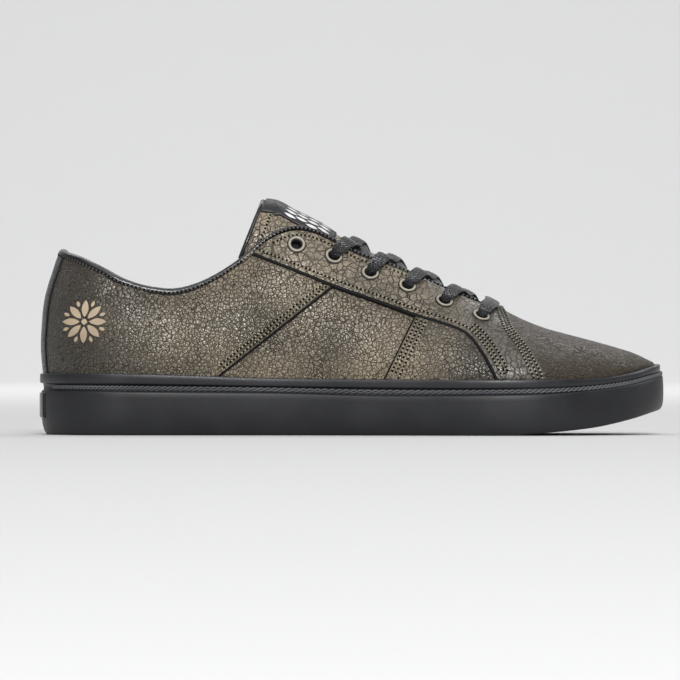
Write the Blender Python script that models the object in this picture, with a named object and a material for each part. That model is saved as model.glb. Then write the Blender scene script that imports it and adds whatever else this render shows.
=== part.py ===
# Low skate shoe for the right foot, toe along +X, outer side towards -Y, standing on z = 0.
# Every form is a function of the sizes below and of short tables of shares of them.
import math

import bmesh
import bpy
import numpy as np
from mathutils import Vector

# Driving sizes, in metres.
LENGTH = 0.300
BALL_WIDTH = 0.110
HEEL_HEIGHT = 0.0892
INSTEP_HEIGHT = 0.1002
TONGUE_HEIGHT = 0.1130
SIDE_HEIGHT = 0.0294
GAP = 0.0003

# The cup sole.
CHANNEL_DEPTH = 0.0014
CHANNEL_STEP = 0.0002
LIP_ROUND = 0.0007
SOLE_FLOOR = 0.0130
TREAD_DEPTH = 0.0016
TREAD_GROOVE = 0.0022
TREAD_PITCH = 0.0135
TREAD_MARGIN = 0.0070
ARCH_RELIEF = 0.0010
TREAD_POINT_SHARE = 0.45
TOE_START_SHARE = 0.6

# The upper and what is sewn to it.
WALL = 0.0024
OVERLAY = 0.0010
HEEL_INSET = 0.0030
SIDE_INSET = 0.0032
TOE_INSET = 0.0045
HEEL_LEAN = 0.0086
LEAN_REACH_SHARE = 0.22
THROAT_END_SHARE = 0.748
THROAT_ROUND_SHARE = 0.030
STAY_WIDTH = 0.0240
STAY_DEPTH_SHARE = 0.16
STAY_TOP_BACK_SHARE = 0.05
STAY_TOP_RISE = 0.0040
CUTTER_HEIGHT_SHARE = 1.4
RIM_CLEAR = 0.0005
SEAM_GAP = 0.0005
BAND_HEIGHT = 0.0032
BAND_OUT = 0.0016
BAND_IN = 0.0030
BAND_LEAST_SHARE = 0.45
BAND_END_SHARE = 0.736

# Tongue, insole, eyelets, laces and heel label.
TONGUE_THICK = 0.0060
TONGUE_HALF = 0.0215
TONGUE_LEAN_RATIO = 0.378
TONGUE_CLEAR = 0.0004
LABEL_THICK = 0.0009
PIPING_RADIUS = 0.0010
PIPING_CLEAR = 0.0005
INSOLE_THICK = 0.0045
INSOLE_EDGE = 0.0030
INSOLE_CHAMFER = 0.0010
INSOLE_DISH = 0.0060
EYELET_COUNT = 6
EYELET_FIRST_SHARE = 0.4115
EYELET_PITCH_SHARE = 0.0601
EYELET_DROP_TOP = 0.0095
EYELET_DROP_LOW = 0.0068
EYELET_RADIUS = 0.0045
EYELET_BORE = 0.0017
EYELET_BARREL = 0.0024
EYELET_SIDES_COUNT = 8
FLANGE_THICK = 0.0008
FLANGE_SEAT = 0.0006
LACE_WIDTH = 0.0068
LACE_THICK = 0.0015
LACE_LIFT = 0.0020
LACE_CROSS_RISE = 0.0012
BAR_RISE = 0.0012
BAR_FORWARD_SHARE = 0.016
LACE_SLACK = 0.0007
LACE_START_IN = 0.0046
LACE_OVER_BAND = BAND_OUT + GAP + LACE_THICK / 2 + LACE_SLACK
LACE_OVER_EYELET = 3 * GAP + OVERLAY + FLANGE_SEAT + FLANGE_THICK + LACE_THICK / 2
HEEL_LABEL_WIDTH = 0.0240
HEEL_LABEL_LOW = 0.0080
HEEL_LABEL_HIGH = 0.0205
HEEL_LABEL_THICK = 0.0009
HEEL_LABEL_POINTS_COUNT = 9

ROW_COUNT = 34
RING_COUNT = 6
LAYER_END_SHARE = 0.90
OUTER, INNER = -1, 1

# Extra sections of the upper where its edge turns quickly, as shares of its length.
CLOSE_SHARES = (0.400, 0.426, 0.722, BAND_END_SHARE, 0.744, THROAT_END_SHARE)
CLOSE_TURN = 0.03

# Angles for the normals: the step, and how near they come to the heel, the toe and the ridge.
NORMAL_STEP = 0.004
NORMAL_FROM_HEEL = 0.02
NORMAL_FROM_TOE = 0.12
NORMAL_FROM_RIDGE = 0.03

# Fields of the tread and of the arch: start and end as shares of the length.
TREAD_FIELDS = ((0.07, 0.33), (0.56, 0.735))
ARCH_FIELD = (0.37, 0.53)

# Finish of each kind of piece: colour, roughness, metal.
FINISHES = {
    "sole rubber": ((0.030, 0.031, 0.034), 0.42, 0.0),
    "label rubber": ((0.020, 0.021, 0.024), 0.35, 0.0),
    "vamp leather": ((0.135, 0.112, 0.072), 0.50, 0.0),
    "stay leather": ((0.150, 0.122, 0.078), 0.48, 0.0),
    "quarter leather": ((0.120, 0.100, 0.066), 0.48, 0.0),
    "heel leather": ((0.105, 0.090, 0.062), 0.50, 0.0),
    "tongue leather": ((0.130, 0.108, 0.070), 0.50, 0.0),
    "black binding": ((0.012, 0.012, 0.014), 0.45, 0.0),
    "black satin": ((0.010, 0.010, 0.012), 0.40, 0.0),
    "insole cloth": ((0.020, 0.020, 0.022), 0.85, 0.0),
    "eyelet metal": ((0.045, 0.040, 0.034), 0.35, 0.6),
    "waxed cotton": ((0.016, 0.017, 0.021), 0.45, 0.0),
}

# Outline of the sole: share of length, outer and inner half widths as shares of the ball width.
OUTLINE = (
    (0.00, 0.000, 0.000),
    (0.02, 0.185, 0.185),
    (0.05, 0.280, 0.280),
    (0.10, 0.345, 0.345),
    (0.15, 0.360, 0.360),
    (0.22, 0.365, 0.360),
    (0.30, 0.370, 0.345),
    (0.40, 0.380, 0.318),
    (0.50, 0.410, 0.328),
    (0.60, 0.450, 0.385),
    (0.68, 0.488, 0.450),
    (0.73, 0.500, 0.487),
    (0.78, 0.495, 0.497),
    (0.84, 0.455, 0.480),
    (0.90, 0.370, 0.430),
    (0.95, 0.255, 0.335),
    (0.98, 0.140, 0.225),
    (1.00, -0.050, 0.050),
)

# Side of the sole: share of length, then bottom, step, channel top and rim as shares of the side height.
SIDE = (
    (0.00, 0.000, 0.721, 0.844, 1.000),
    (0.22, 0.000, 0.700, 0.825, 0.983),
    (0.37, 0.000, 0.687, 0.800, 0.930),
    (0.55, 0.000, 0.640, 0.775, 0.908),
    (0.74, 0.000, 0.655, 0.768, 0.905),
    (0.81, 0.045, 0.672, 0.778, 0.910),
    (0.89, 0.130, 0.742, 0.815, 0.922),
    (0.94, 0.235, 0.810, 0.880, 0.985),
    (0.98, 0.350, 0.905, 0.975, 1.085),
    (1.00, 0.425, 0.968, 1.040, 1.150),
)

# Bulge of the side below the step: share of its height, inset at the heel and at the toe.
BULGE = (
    (0.00, 0.0031, 0.0014),
    (0.12, 0.0019, 0.0005),
    (0.45, 0.0007, 0.0000),
    (1.00, 0.0007, 0.0004),
)
LIP_INSET_HEEL, LIP_INSET_TOE = 0.0, 0.0016

# Thickness of the sole under the foot: share of length, share of the floor thickness.
FLOOR = ((0.0, 1.25), (0.3, 1.2), (0.5, 1.05), (0.75, 0.95), (0.9, 0.85), (1.0, 0.8))

# Collar and throat: share of length, height of the edge as a share of the heel height mixed with
# the instep height, the mix, half opening as a share of the half width, roundness of the section.
EDGE = (
    (0.000, 1.000, 0.0, 0.80, 2.30),
    (0.040, 0.953, 0.0, 0.80, 2.30),
    (0.080, 0.903, 0.0, 0.79, 2.25),
    (0.130, 0.833, 0.0, 0.78, 2.20),
    (0.180, 0.793, 0.0, 0.77, 2.15),
    (0.210, 0.785, 0.0, 0.76, 2.10),
    (0.250, 0.815, 0.0, 0.75, 2.10),
    (0.290, 0.839, 0.4, 0.73, 2.05),
    (0.330, 0.885, 0.8, 0.69, 2.00),
    (0.370, 0.961, 1.0, 0.62, 1.97),
    (0.395, 0.992, 1.0, 0.57, 1.95),
    (0.415, 0.998, 1.0, 0.52, 1.95),
    (0.440, 0.981, 1.0, 0.47, 1.93),
    (0.475, 0.931, 1.0, 0.43, 1.92),
    (0.510, 0.875, 1.0, 0.41, 1.90),
    (0.560, 0.822, 1.0, 0.40, 1.88),
    (0.610, 0.759, 1.0, 0.385, 1.86),
    (0.660, 0.693, 1.0, 0.37, 1.85),
    (0.700, 0.644, 1.0, 0.355, 1.85),
)

# Ridge of the vamp: share of length, height as a share of the instep height, roundness.
# At the tip it comes down to the rim of the sole.
VAMP = (
    (0.750, 0.602, 1.88),
    (0.780, 0.557, 1.93),
    (0.820, 0.511, 2.00),
    (0.860, 0.479, 2.10),
    (0.900, 0.448, 2.20),
    (0.940, 0.415, 2.25),
    (0.965, 0.392, 2.25),
    (0.985, 0.365, 2.25),
    (1.000, None, 2.25),
)

# Line of the ridge seen from above: share of length, share of the ball width towards the inner side.
RIDGE_LINE = ((0.0, 0.0), (0.4, 0.0), (0.6, 0.005), (0.8, 0.02), (0.92, 0.035), (1.0, 0.05))

# Back of the heel: height as a share of the heel height, forward lean as a share of the full lean.
LEAN = (
    (0.33, 0.00),
    (0.47, -0.116),
    (0.60, -0.058),
    (0.67, 0.000),
    (0.735, 0.105),
    (0.80, 0.280),
    (0.865, 0.500),
    (0.93, 0.720),
    (1.00, 1.000),
)

# Lower edge of the eyestay seen from the side: share of length, share of the instep height.
STAY_EDGE = (
    (0.317, 0.885),
    (0.345, 0.856),
    (0.402, 0.790),
    (0.475, 0.703),
    (0.544, 0.630),
    (0.605, 0.563),
    (0.640, 0.531),
    (0.683, 0.474),
    (0.704, 0.396),
    (0.723, 0.297),
    (0.732, 0.200),
)

# Front edge of the eyestay, from the throat down to the sole, in the same shares.
STAY_FRONT = (
    (0.737, 0.630),
    (0.748, 0.565),
    (0.757, 0.500),
    (0.781, 0.415),
    (0.803, 0.300),
    (0.812, 0.200),
)

# The two slanting side seams, in the same shares, upper end first.
REAR_SEAM = ((0.468, 0.703), (0.2906, 0.287), (0.253, 0.200))
MIDDLE_SEAM = ((0.600, 0.562), (0.553, 0.276), (0.542, 0.200))

# Ridge of the tongue: share of length, share of the tongue height, share of the drop at its sides.
TONGUE = (
    (0.361, 0.999, 1.00),
    (0.382, 0.988, 1.00),
    (0.400, 0.963, 1.00),
    (0.421, 0.933, 0.99),
    (0.442, 0.907, 0.97),
    (0.473, 0.855, 0.92),
    (0.510, 0.803, 0.84),
    (0.550, 0.752, 0.76),
    (0.600, 0.690, 0.68),
    (0.650, 0.626, 0.60),
    (0.700, 0.563, 0.55),
    (0.740, 0.510, 0.50),
    (0.800, 0.430, 0.42),
)
TONGUE_DROP = 0.026
TONGUE_ANGLES = (-82, -62, -41, -21, 0, 21, 41, 62, 82)
LABEL_ANGLE = 41
TONGUE_SHARES = (0.0, 0.09, 0.17, 0.26, 0.35, 0.44, 0.54, 0.64, 0.74, 0.84, 0.93, 1.0)
LABEL_SHARE = 0.26

# Thickness of the tongue: share left at its sides, then share of its length against thickness.
TONGUE_SIDE_THIN = 0.45
TONGUE_TAPER = ((0.0, 1.0), (0.5, 0.75), (1.0, 0.4))

# A lace's arch between the flaps: share of the way over, share of its rise.
LACE_ARCH = ((0.0, 0.0), (0.22, 0.4), (0.45, 1.0), (0.68, 0.8))
LACE_START_SHARE = 0.1
LACE_BACK_STEP = 0.34
LACE_TILT = (0.5, 0.0, 1.0)

# Section of a lace: shares of half its width and of half its thickness.
LACE_SECTION = ((-1, 0), (-0.82, -1), (0.82, -1), (1, 0), (0.82, 1), (-0.82, 1))

for old in list(bpy.data.objects):
    bpy.data.objects.remove(old, do_unlink=True)


def turn(share):
    """The angle whose cosine spacing gives rounded ends to every outline."""
    return np.arccos(np.clip(1.0 - 2.0 * np.asarray(share, float), -1.0, 1.0))


def through(knots, values, at):
    """A smooth curve through the rows of a table."""
    knots = np.asarray(knots, float)
    values = np.asarray(values, float)
    at = np.clip(at, knots[0], knots[-1])
    slopes = np.gradient(values, knots)
    i = np.clip(np.searchsorted(knots, at) - 1, 0, len(knots) - 2)
    span = knots[i + 1] - knots[i]
    t = (at - knots[i]) / span
    start = (2 * t**3 - 3 * t**2 + 1) * values[i] + (t**3 - 2 * t**2 + t) * span * slopes[i]
    end = (3 * t**2 - 2 * t**3) * values[i + 1] + (t**3 - t**2) * span * slopes[i + 1]
    return start + end


def along(table, column, share):
    rows = np.array(table)
    return through(turn(rows[:, 0]), rows[:, column], turn(share))


def half_width(share, side):
    return BALL_WIDTH * along(OUTLINE, 1 if side == OUTER else 2, share)


def side_height(share, column):
    return SIDE_HEIGHT * along(SIDE, column, share)


def rim_height(share):
    return side_height(share, 4)


def floor_height(share):
    return side_height(share, 1) + SOLE_FLOOR * along(FLOOR, 1, share)


# The origin is under the middle of the shoe's box, heel label included.
LABEL_SEAT = BULGE[2][1] - GAP
MIDDLE_X = (LENGTH - HEEL_LABEL_THICK + LABEL_SEAT) / 2
EVEN = np.linspace(0.0, 1.0, 201)
MIDDLE_Y = (half_width(EVEN, INNER).max() - half_width(EVEN, OUTER).max()) / 2


def placed(points):
    return np.asarray(points, float) - (MIDDLE_X, MIDDLE_Y, 0.0)


def ridge_heights():
    """Shares and heights of the ridge: over the opening it is where the section would close."""
    rows = []
    for share, height, mix, opening, roundness in EDGE:
        edge = height * (HEEL_HEIGHT * (1 - mix) + INSTEP_HEIGHT * mix)
        rim = rim_height(share)
        rows.append((share, rim + (edge - rim) / (1 - opening**roundness) ** (1 / roundness)))
    for share, height, _ in VAMP[:-1]:
        rows.append((share, height * INSTEP_HEIGHT))
    rows.append((1.0, float(rim_height(1.0))))
    return np.array(rows)


RIDGE = ridge_heights()
ROUNDNESS = np.array([(row[0], row[4]) for row in EDGE] + [(row[0], row[2]) for row in VAMP])
UPPER_LENGTH = LENGTH - HEEL_INSET - TOE_INSET
NARROWING = 1.0 - 2 * SIDE_INSET / BALL_WIDTH


def opening_share(share):
    """Half opening over half width: round at the front end of the throat, nothing on the vamp."""
    share = np.asarray(share, float)
    rows = np.array(EDGE)
    half = through(turn(rows[:, 0]), rows[:, 3], turn(np.minimum(share, rows[-1, 0])))
    left = np.clip((THROAT_END_SHARE - share) / THROAT_ROUND_SHARE, 0.0, 1.0)
    return half * np.sqrt(1.0 - (1.0 - left) ** 2)


def edge_angle(share):
    roundness = along(ROUNDNESS, 1, share)
    return np.arccos(opening_share(share) ** (roundness / 2))


def skin(share, angle, side):
    """The upper's own function. The angle climbs from the rim (0) to the ridge, and is negative
    inside the cup sole, down to -1 at the sole's floor."""
    share, angle = np.broadcast_arrays(np.asarray(share, float), np.asarray(angle, float))
    roundness = along(ROUNDNESS, 1, share)
    rim = rim_height(share)
    climb = np.clip(angle, 0.0, math.pi / 2)
    out = np.cos(climb) ** (2 / roundness)
    up = np.sin(climb) ** (2 / roundness)
    ridge = np.maximum(along(RIDGE, 1, share), rim)
    low = floor_height(share) + GAP
    z = rim + (ridge - rim) * up + np.minimum(angle, 0.0) * (rim - low)
    middle = BALL_WIDTH * along(RIDGE_LINE, 1, share) * NARROWING
    wide = side * half_width(share, side) * NARROWING
    y = middle + (wide - middle) * out
    rows = np.array(LEAN)
    lean = HEEL_LEAN * through(rows[:, 0], rows[:, 1], z / HEEL_HEIGHT)
    fade = np.clip(1.0 - share / LEAN_REACH_SHARE, 0.0, 1.0)
    x = HEEL_INSET + UPPER_LENGTH * share + lean * fade * fade * (3 - 2 * fade)
    return np.stack([x, y, z], -1)


def skin_normal(share, angle, side):
    """Outward unit normal of the upper, from small steps along it and up it."""
    step = NORMAL_STEP
    phi = np.clip(turn(share), NORMAL_FROM_HEEL, math.pi - NORMAL_FROM_TOE)
    angle = np.asarray(angle, float)
    inside = np.clip(angle, NORMAL_FROM_RIDGE, math.pi / 2 - NORMAL_FROM_RIDGE)
    angle = np.where(angle > 0, inside, angle)
    share_low, share_high = (1 - np.cos(phi - step)) / 2, (1 - np.cos(phi + step)) / 2
    ahead = skin(share_high, angle, side) - skin(share_low, angle, side)
    middle = (1 - np.cos(phi)) / 2
    above = skin(middle, angle + step, side) - skin(middle, angle - step, side)
    normal = np.cross(ahead, above) * (-side)
    normal /= np.linalg.norm(normal, axis=-1, keepdims=True)
    return normal


def arc_to_angle(share, side, length):
    """The angle that a length along the section, down from its edge, spans."""
    top = edge_angle(share)
    step = 0.02
    reach = np.linalg.norm(skin(share, top, side) - skin(share, top - step, side), axis=-1)
    return length * step / np.maximum(reach, GAP)


def stations():
    """Shares along the upper, closer together at the eyestay's top and the front of the throat."""
    even = sole_shares(ROW_COUNT)
    kept = [s for s in even if min(abs(turn(s) - turn(n)) for n in CLOSE_SHARES) > CLOSE_TURN]
    return np.array(sorted(kept + list(CLOSE_SHARES)))


def joined_faces(count, columns):
    """Faces of the two sides of the upper: each side is a grid of count rows and columns."""
    faces = []
    for side in (0, 1):
        first = side * count * columns
        for i in range(count - 1):
            for j in range(columns - 1):
                a = first + i * columns + j
                quad = [a, a + columns, a + columns + 1, a + 1]
                faces.append(quad if side == 0 else quad[::-1])
    return faces


def shell(name, points, normals, faces, low, high):
    """A closed solid between two distances from a surface, along its normals."""
    keys = np.round(points, 7)
    _, first, index = np.unique(keys, axis=0, return_index=True, return_inverse=True)
    index = index.reshape(-1)
    used = points[first]
    around = np.zeros_like(used)
    np.add.at(around, index, normals)
    around /= np.linalg.norm(around, axis=1, keepdims=True)
    outer = []
    for face in faces:
        ring = [int(index[k]) for k in face]
        ring = [k for n, k in enumerate(ring) if k != ring[n - 1]]
        if len(set(ring)) == len(ring) and len(ring) > 2:
            outer.append(ring)
    count = len(used)
    edges = {}
    for ring in outer:
        for a, b in zip(ring, ring[1:] + ring[:1]):
            edges[(a, b)] = edges.get((a, b), 0) + 1
    solid = list(outer)
    solid += [[k + count for k in ring[::-1]] for ring in outer]
    solid += [[b, a, a + count, b + count] for a, b in edges if (b, a) not in edges]
    corners = np.concatenate([used + around * high, used + around * low])
    return body(name, placed(corners), solid)


def body(name, points, faces):
    """An object from points and faces, with loose points gone and its normals outward."""
    mesh = bpy.data.meshes.new(name)
    mesh.from_pydata([tuple(p) for p in points], [], faces)
    made = bmesh.new()
    made.from_mesh(mesh)
    loose = [v for v in made.verts if not v.link_faces]
    bmesh.ops.delete(made, geom=loose, context="VERTS")
    bmesh.ops.remove_doubles(made, verts=made.verts, dist=1e-6)
    bmesh.ops.dissolve_degenerate(made, dist=1e-6, edges=made.edges)
    bmesh.ops.triangulate(made, faces=made.faces)
    bmesh.ops.recalc_face_normals(made, faces=made.faces)
    if made.calc_volume(signed=True) < 0:
        bmesh.ops.reverse_faces(made, faces=made.faces)
    made.to_mesh(mesh)
    made.free()
    made_object = bpy.data.objects.new(name, mesh)
    bpy.context.collection.objects.link(made_object)
    return made_object


def finish(name, kind):
    """A material of its own for the object of this name."""
    colour, roughness, metallic = FINISHES[kind]
    material = bpy.data.materials.new(name + "_finish")
    material.use_nodes = True
    shader = material.node_tree.nodes["Principled BSDF"]
    shader.inputs["Base Color"].default_value = (*colour, 1.0)
    shader.inputs["Roughness"].default_value = roughness
    shader.inputs["Metallic"].default_value = metallic
    bpy.data.objects[name].data.materials.append(material)
    for polygon in bpy.data.objects[name].data.polygons:
        polygon.use_smooth = True


def helper(made_object):
    made_object.hide_render = True
    made_object.display_type = "WIRE"
    return made_object


def boolean(target, other, operation):
    modifier = target.modifiers.new(other.name, "BOOLEAN")
    modifier.operation = operation
    modifier.solver = "EXACT"
    modifier.object = other
    return target


def prism(name, outline, low, high, axes=(0, 2, 1)):
    """A cutter: an outline in the plane of the first two axes, stretched along the third."""
    count = len(outline)
    points = np.zeros((2 * count, 3))
    for k, (u, v) in enumerate(outline):
        for end, reach in ((0, low), (1, high)):
            points[k + end * count, axes[0]] = u
            points[k + end * count, axes[1]] = v
            points[k + end * count, axes[2]] = reach
    faces = [list(range(count))[::-1], list(range(count, 2 * count))]
    faces += [[k, (k + 1) % count, (k + 1) % count + count, k + count] for k in range(count)]
    return helper(body(name, placed(points), faces))


def outline_loop(shares, inset, narrowed=False):
    """Points round the sole's outline, moved inward by inset along the outline's normal."""
    if narrowed:
        outer = skin(shares, 0.0, OUTER)[:, :2]
        inner = skin(shares, 0.0, INNER)[:, :2]
    else:
        outer = np.stack([LENGTH * shares, -half_width(shares, OUTER)], -1)
        inner = np.stack([LENGTH * shares, half_width(shares, INNER)], -1)
    ring = np.concatenate([outer, inner[-2:0:-1]])
    ahead = np.roll(ring, -1, axis=0) - np.roll(ring, 1, axis=0)
    ahead /= np.linalg.norm(ahead, axis=1, keepdims=True)
    inward = np.stack([-ahead[:, 1], ahead[:, 0]], -1)
    depth = np.concatenate([inset, inset[-2:0:-1]]) if np.ndim(inset) else inset
    return ring + inward * np.reshape(depth, (-1, 1))


def round_values(values):
    return np.concatenate([values, values[-2:0:-1]])


def ladder(start, count):
    """Faces that close a loop of the sole by strips from side to side."""
    half = count // 2
    faces = [[start, start + 1, start + count - 1]]
    for k in range(1, half - 1):
        faces.append([start + k, start + k + 1, start + count - k - 1, start + count - k])
    faces.append([start + half - 1, start + half, start + half + 1])
    return faces


def stacked(name, loops):
    """A solid from loops of equal count: walls between them, strips across the first and last."""
    count = len(loops[0])
    faces = ladder(0, count)
    for level in range(len(loops) - 1):
        base = level * count
        for k in range(count):
            after = (k + 1) % count
            faces.append([base + k, base + after, base + count + after, base + count + k])
    faces += ladder((len(loops) - 1) * count, count)
    return body(name, placed(np.concatenate(loops)), faces)


def with_height(ring, heights):
    return np.column_stack([ring, heights])


def sole_shares(count):
    return (1 - np.cos(np.linspace(0.0, math.pi, count))) / 2


def toe_blend(shares, heel, toe):
    t = np.clip((shares - TOE_START_SHARE) / (1.0 - TOE_START_SHARE), 0.0, 1.0)
    return heel + (toe - heel) * t * t * (3 - 2 * t)


def cup_sole():
    shares = sole_shares(ROW_COUNT)
    bottom = side_height(shares, 1)
    step = side_height(shares, 2)
    channel = side_height(shares, 3)
    rim = side_height(shares, 4)
    floor = floor_height(shares)
    lip = toe_blend(shares, LIP_INSET_HEEL, LIP_INSET_TOE)
    loops = []
    for height, heel, toe in BULGE:
        ring = outline_loop(shares, toe_blend(shares, heel, toe))
        loops.append(with_height(ring, round_values(bottom + height * (step - bottom))))
    recess = outline_loop(shares, toe_blend(shares, BULGE[-1][1], BULGE[-1][2]) + CHANNEL_DEPTH)
    loops.append(with_height(recess, round_values(step + CHANNEL_STEP)))
    loops.append(with_height(recess, round_values(channel - CHANNEL_STEP)))
    loops.append(with_height(outline_loop(shares, lip), round_values(channel)))
    loops.append(with_height(outline_loop(shares, lip), round_values(rim - LIP_ROUND)))
    loops.append(with_height(outline_loop(shares, lip + LIP_ROUND), round_values(rim)))
    inner = outline_loop(shares, -GAP, narrowed=True)
    loops.append(with_height(inner, round_values(rim)))
    loops.append(with_height(inner, round_values(floor)))
    made = stacked("cup_sole", loops)
    for groove in tread_grooves():
        boolean(made, groove, "DIFFERENCE")
    finish("cup_sole", "sole rubber")


def tread_grooves():
    """Chevron grooves under the heel and the ball, and a shallow relief under the arch."""
    cutters = []
    spots = []
    for start, end in TREAD_FIELDS:
        count = int((end - start) * LENGTH / TREAD_PITCH)
        for k in range(count + 1):
            spots.append(start * LENGTH + k * TREAD_PITCH)
    for k, x in enumerate(spots):
        share = x / LENGTH
        outer = -(half_width(share, OUTER) - TREAD_MARGIN)
        inner = half_width(share, INNER) - TREAD_MARGIN
        middle = (outer + inner) / 2
        point = TREAD_PITCH * TREAD_POINT_SHARE
        outline = [
            (x, outer),
            (x + point, middle),
            (x, inner),
            (x + TREAD_GROOVE, inner),
            (x + point + TREAD_GROOVE, middle),
            (x + TREAD_GROOVE, outer),
        ]
        cutters.append(prism("tread_cut_%d" % (k + 1), outline, -TREAD_DEPTH, TREAD_DEPTH, (0, 1, 2)))
    shares = np.linspace(*ARCH_FIELD, 5)
    ends = [(LENGTH * s, -(half_width(s, OUTER) - TREAD_MARGIN)) for s in shares]
    ends += [(LENGTH * s, half_width(s, INNER) - TREAD_MARGIN) for s in shares[::-1]]
    cutters.append(prism("arch_cut", ends, -ARCH_RELIEF, ARCH_RELIEF, (0, 1, 2)))
    return cutters


def upper_grid(lowest, top_of, rows, rings):
    """Points and normals of both sides between the lowest angles and an edge line."""
    points, normals = [], []
    for side in (OUTER, INNER):
        top = top_of(rows, side)
        for share, edge in zip(rows, top):
            angles = np.concatenate([lowest, edge * np.arange(1, rings + 1) / rings])
            p = skin(share, angles, side)
            n = skin_normal(share, angles, side)
            if share in (0.0, 1.0):
                n[:, 1] = 0.0
                if share == 1.0:
                    n[angles >= 0] = n[angles >= 0].mean(axis=0)
                n /= np.linalg.norm(n, axis=1, keepdims=True)
            if share >= THROAT_END_SHARE:
                n[-1] = (n[-1] + skin_normal(share, angles[-1:], -side)[0]) / 2
            points.append(p)
            normals.append(n)
    return np.concatenate(points), np.concatenate(normals), rings + len(lowest)


def band_fade(rows):
    return np.clip((THROAT_END_SHARE - rows) / (THROAT_END_SHARE - BAND_END_SHARE), 0.0, 1.0)


def below_band(rows, side):
    """The edge line of the upper's wall, just under the binding."""
    drop = arc_to_angle(rows, side, BAND_HEIGHT + GAP) * band_fade(rows)
    return edge_angle(rows) - drop


def upper():
    rows = stations()
    points, normals, columns = upper_grid([-1.0, 0.0], below_band, rows, RING_COUNT)
    faces = joined_faces(len(rows), columns)
    made = shell("upper", points, normals, faces, -WALL, 0.0)
    boolean(made, eyelet_cutter(), "DIFFERENCE")
    finish("upper", "vamp leather")


def overlay_layer():
    """A thin layer round the whole upper, which the overlays are cut from."""
    rows = np.array([s for s in stations() if s < LAYER_END_SHARE])
    points, normals, columns = upper_grid([0.0], below_band, rows, RING_COUNT)
    faces = joined_faces(len(rows), columns)
    raised = points.copy()
    raised[::columns, 2] += RIM_CLEAR
    return helper(shell("overlay_layer", raised, normals, faces, GAP, GAP + OVERLAY))


def side_shares(rows, drop=0.0):
    return [(share * LENGTH, height * INSTEP_HEIGHT - drop) for share, height in rows]


def cut_from(layer, name, cutter, kind):
    """The part of the layer that lies inside the cutter, as an object of its own."""
    made = layer.copy()
    made.data = layer.data.copy()
    made.name = name
    made.hide_render = False
    made.display_type = "TEXTURED"
    bpy.context.collection.objects.link(made)
    boolean(made, cutter, "INTERSECT")
    finish(name, kind)
    return made


def overlays():
    layer = overlay_layer()
    far = BALL_WIDTH
    high = INSTEP_HEIGHT * CUTTER_HEIGHT_SHARE
    low = REAR_SEAM[-1][1] * INSTEP_HEIGHT
    stay_edge = side_shares(STAY_EDGE)
    stay_low = side_shares(STAY_EDGE, SEAM_GAP)
    stay_front = side_shares(STAY_FRONT)
    rear_seam = side_shares(REAR_SEAM)
    middle_seam = side_shares(MIDDLE_SEAM)
    stay_back = stay_edge[0][0] - STAY_TOP_BACK_SHARE * LENGTH
    stay = [(stay_back, stay_edge[0][1] + STAY_TOP_RISE)] + stay_edge
    stay += stay_front[::-1] + [(stay_front[0][0], high), (stay[0][0], high)]
    rear = [(-HEEL_INSET, low)] + rear_seam[::-1]
    rear += [p for p in stay_low[::-1] if p[0] < rear_seam[0][0]]
    rear += [(stay[0][0], stay[0][1] - SEAM_GAP), (stay[0][0], high), (-HEEL_INSET, high)]
    middle = middle_seam[::-1]
    middle += [(x - SEAM_GAP, z) for x, z in stay_low if x > middle_seam[0][0]]
    cuts = (
        ("eyestay", stay, 0.0, "stay leather"),
        ("rear_quarter", rear, STAY_WIDTH / 2, "quarter leather"),
        ("side_panel", middle, 0.0, "stay leather"),
    )
    for title, outline, inside, kind in cuts:
        for side, word in ((OUTER, "outer"), (INNER, "inner")):
            name = title + "_" + word
            near = side * (inside + GAP / 2)
            cutter = prism(name + "_cut", outline, min(near, side * far), max(near, side * far))
            made = cut_from(layer, name, cutter, kind)
            if title == "eyestay":
                boolean(made, bpy.data.objects["eyelet_holes"], "DIFFERENCE")
    half = STAY_WIDTH / 2 - GAP / 2
    outline = [(-half, low), (half, low), (half, high), (-half, high)]
    cutter = prism("heel_stay_cut", outline, -HEEL_LEAN, STAY_DEPTH_SHARE * LENGTH, (1, 2, 0))
    cut_from(layer, "heel_stay", cutter, "heel leather")


def collar_binding():
    """The rolled edge that follows the collar and both edges of the throat."""
    rows = np.array([s for s in stations() if s <= BAND_END_SHARE + 1e-6])
    points, normals = [], []
    for side in (OUTER, INNER):
        top = edge_angle(rows)
        low = top - arc_to_angle(rows, side, BAND_HEIGHT) * band_fade(rows)
        low = np.minimum(low, top - arc_to_angle(rows, side, BAND_HEIGHT) * BAND_LEAST_SHARE)
        for share, a, b in zip(rows, low, top):
            angles = np.array([a, (a + b) / 2, b])
            p = skin(share, angles, side)
            n = skin_normal(share, angles, side)
            if share == 0.0:
                n[:, 1] = 0.0
                n /= np.linalg.norm(n, axis=1, keepdims=True)
            points.append(p)
            normals.append(n)
    points, normals = np.concatenate(points), np.concatenate(normals)
    faces = joined_faces(len(rows), 3)
    shell("collar_binding", points, normals, faces, -BAND_IN, BAND_OUT)
    finish("collar_binding", "black binding")


def eyelet_places():
    """Centre and outward normal of each eyelet on the upper's surface."""
    places = []
    for side in (OUTER, INNER):
        for k in range(EYELET_COUNT):
            share = EYELET_FIRST_SHARE + EYELET_PITCH_SHARE * k
            t = k / (EYELET_COUNT - 1)
            drop = EYELET_DROP_TOP + (EYELET_DROP_LOW - EYELET_DROP_TOP) * t
            angles = np.linspace(0.2, float(edge_angle(share)), 200)
            heights = skin(share, angles, side)[:, 2]
            angle = float(np.interp(heights[-1] - drop, heights, angles))
            places.append((side, k, skin(share, angle, side), skin_normal(share, angle, side)))
    return places


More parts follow.
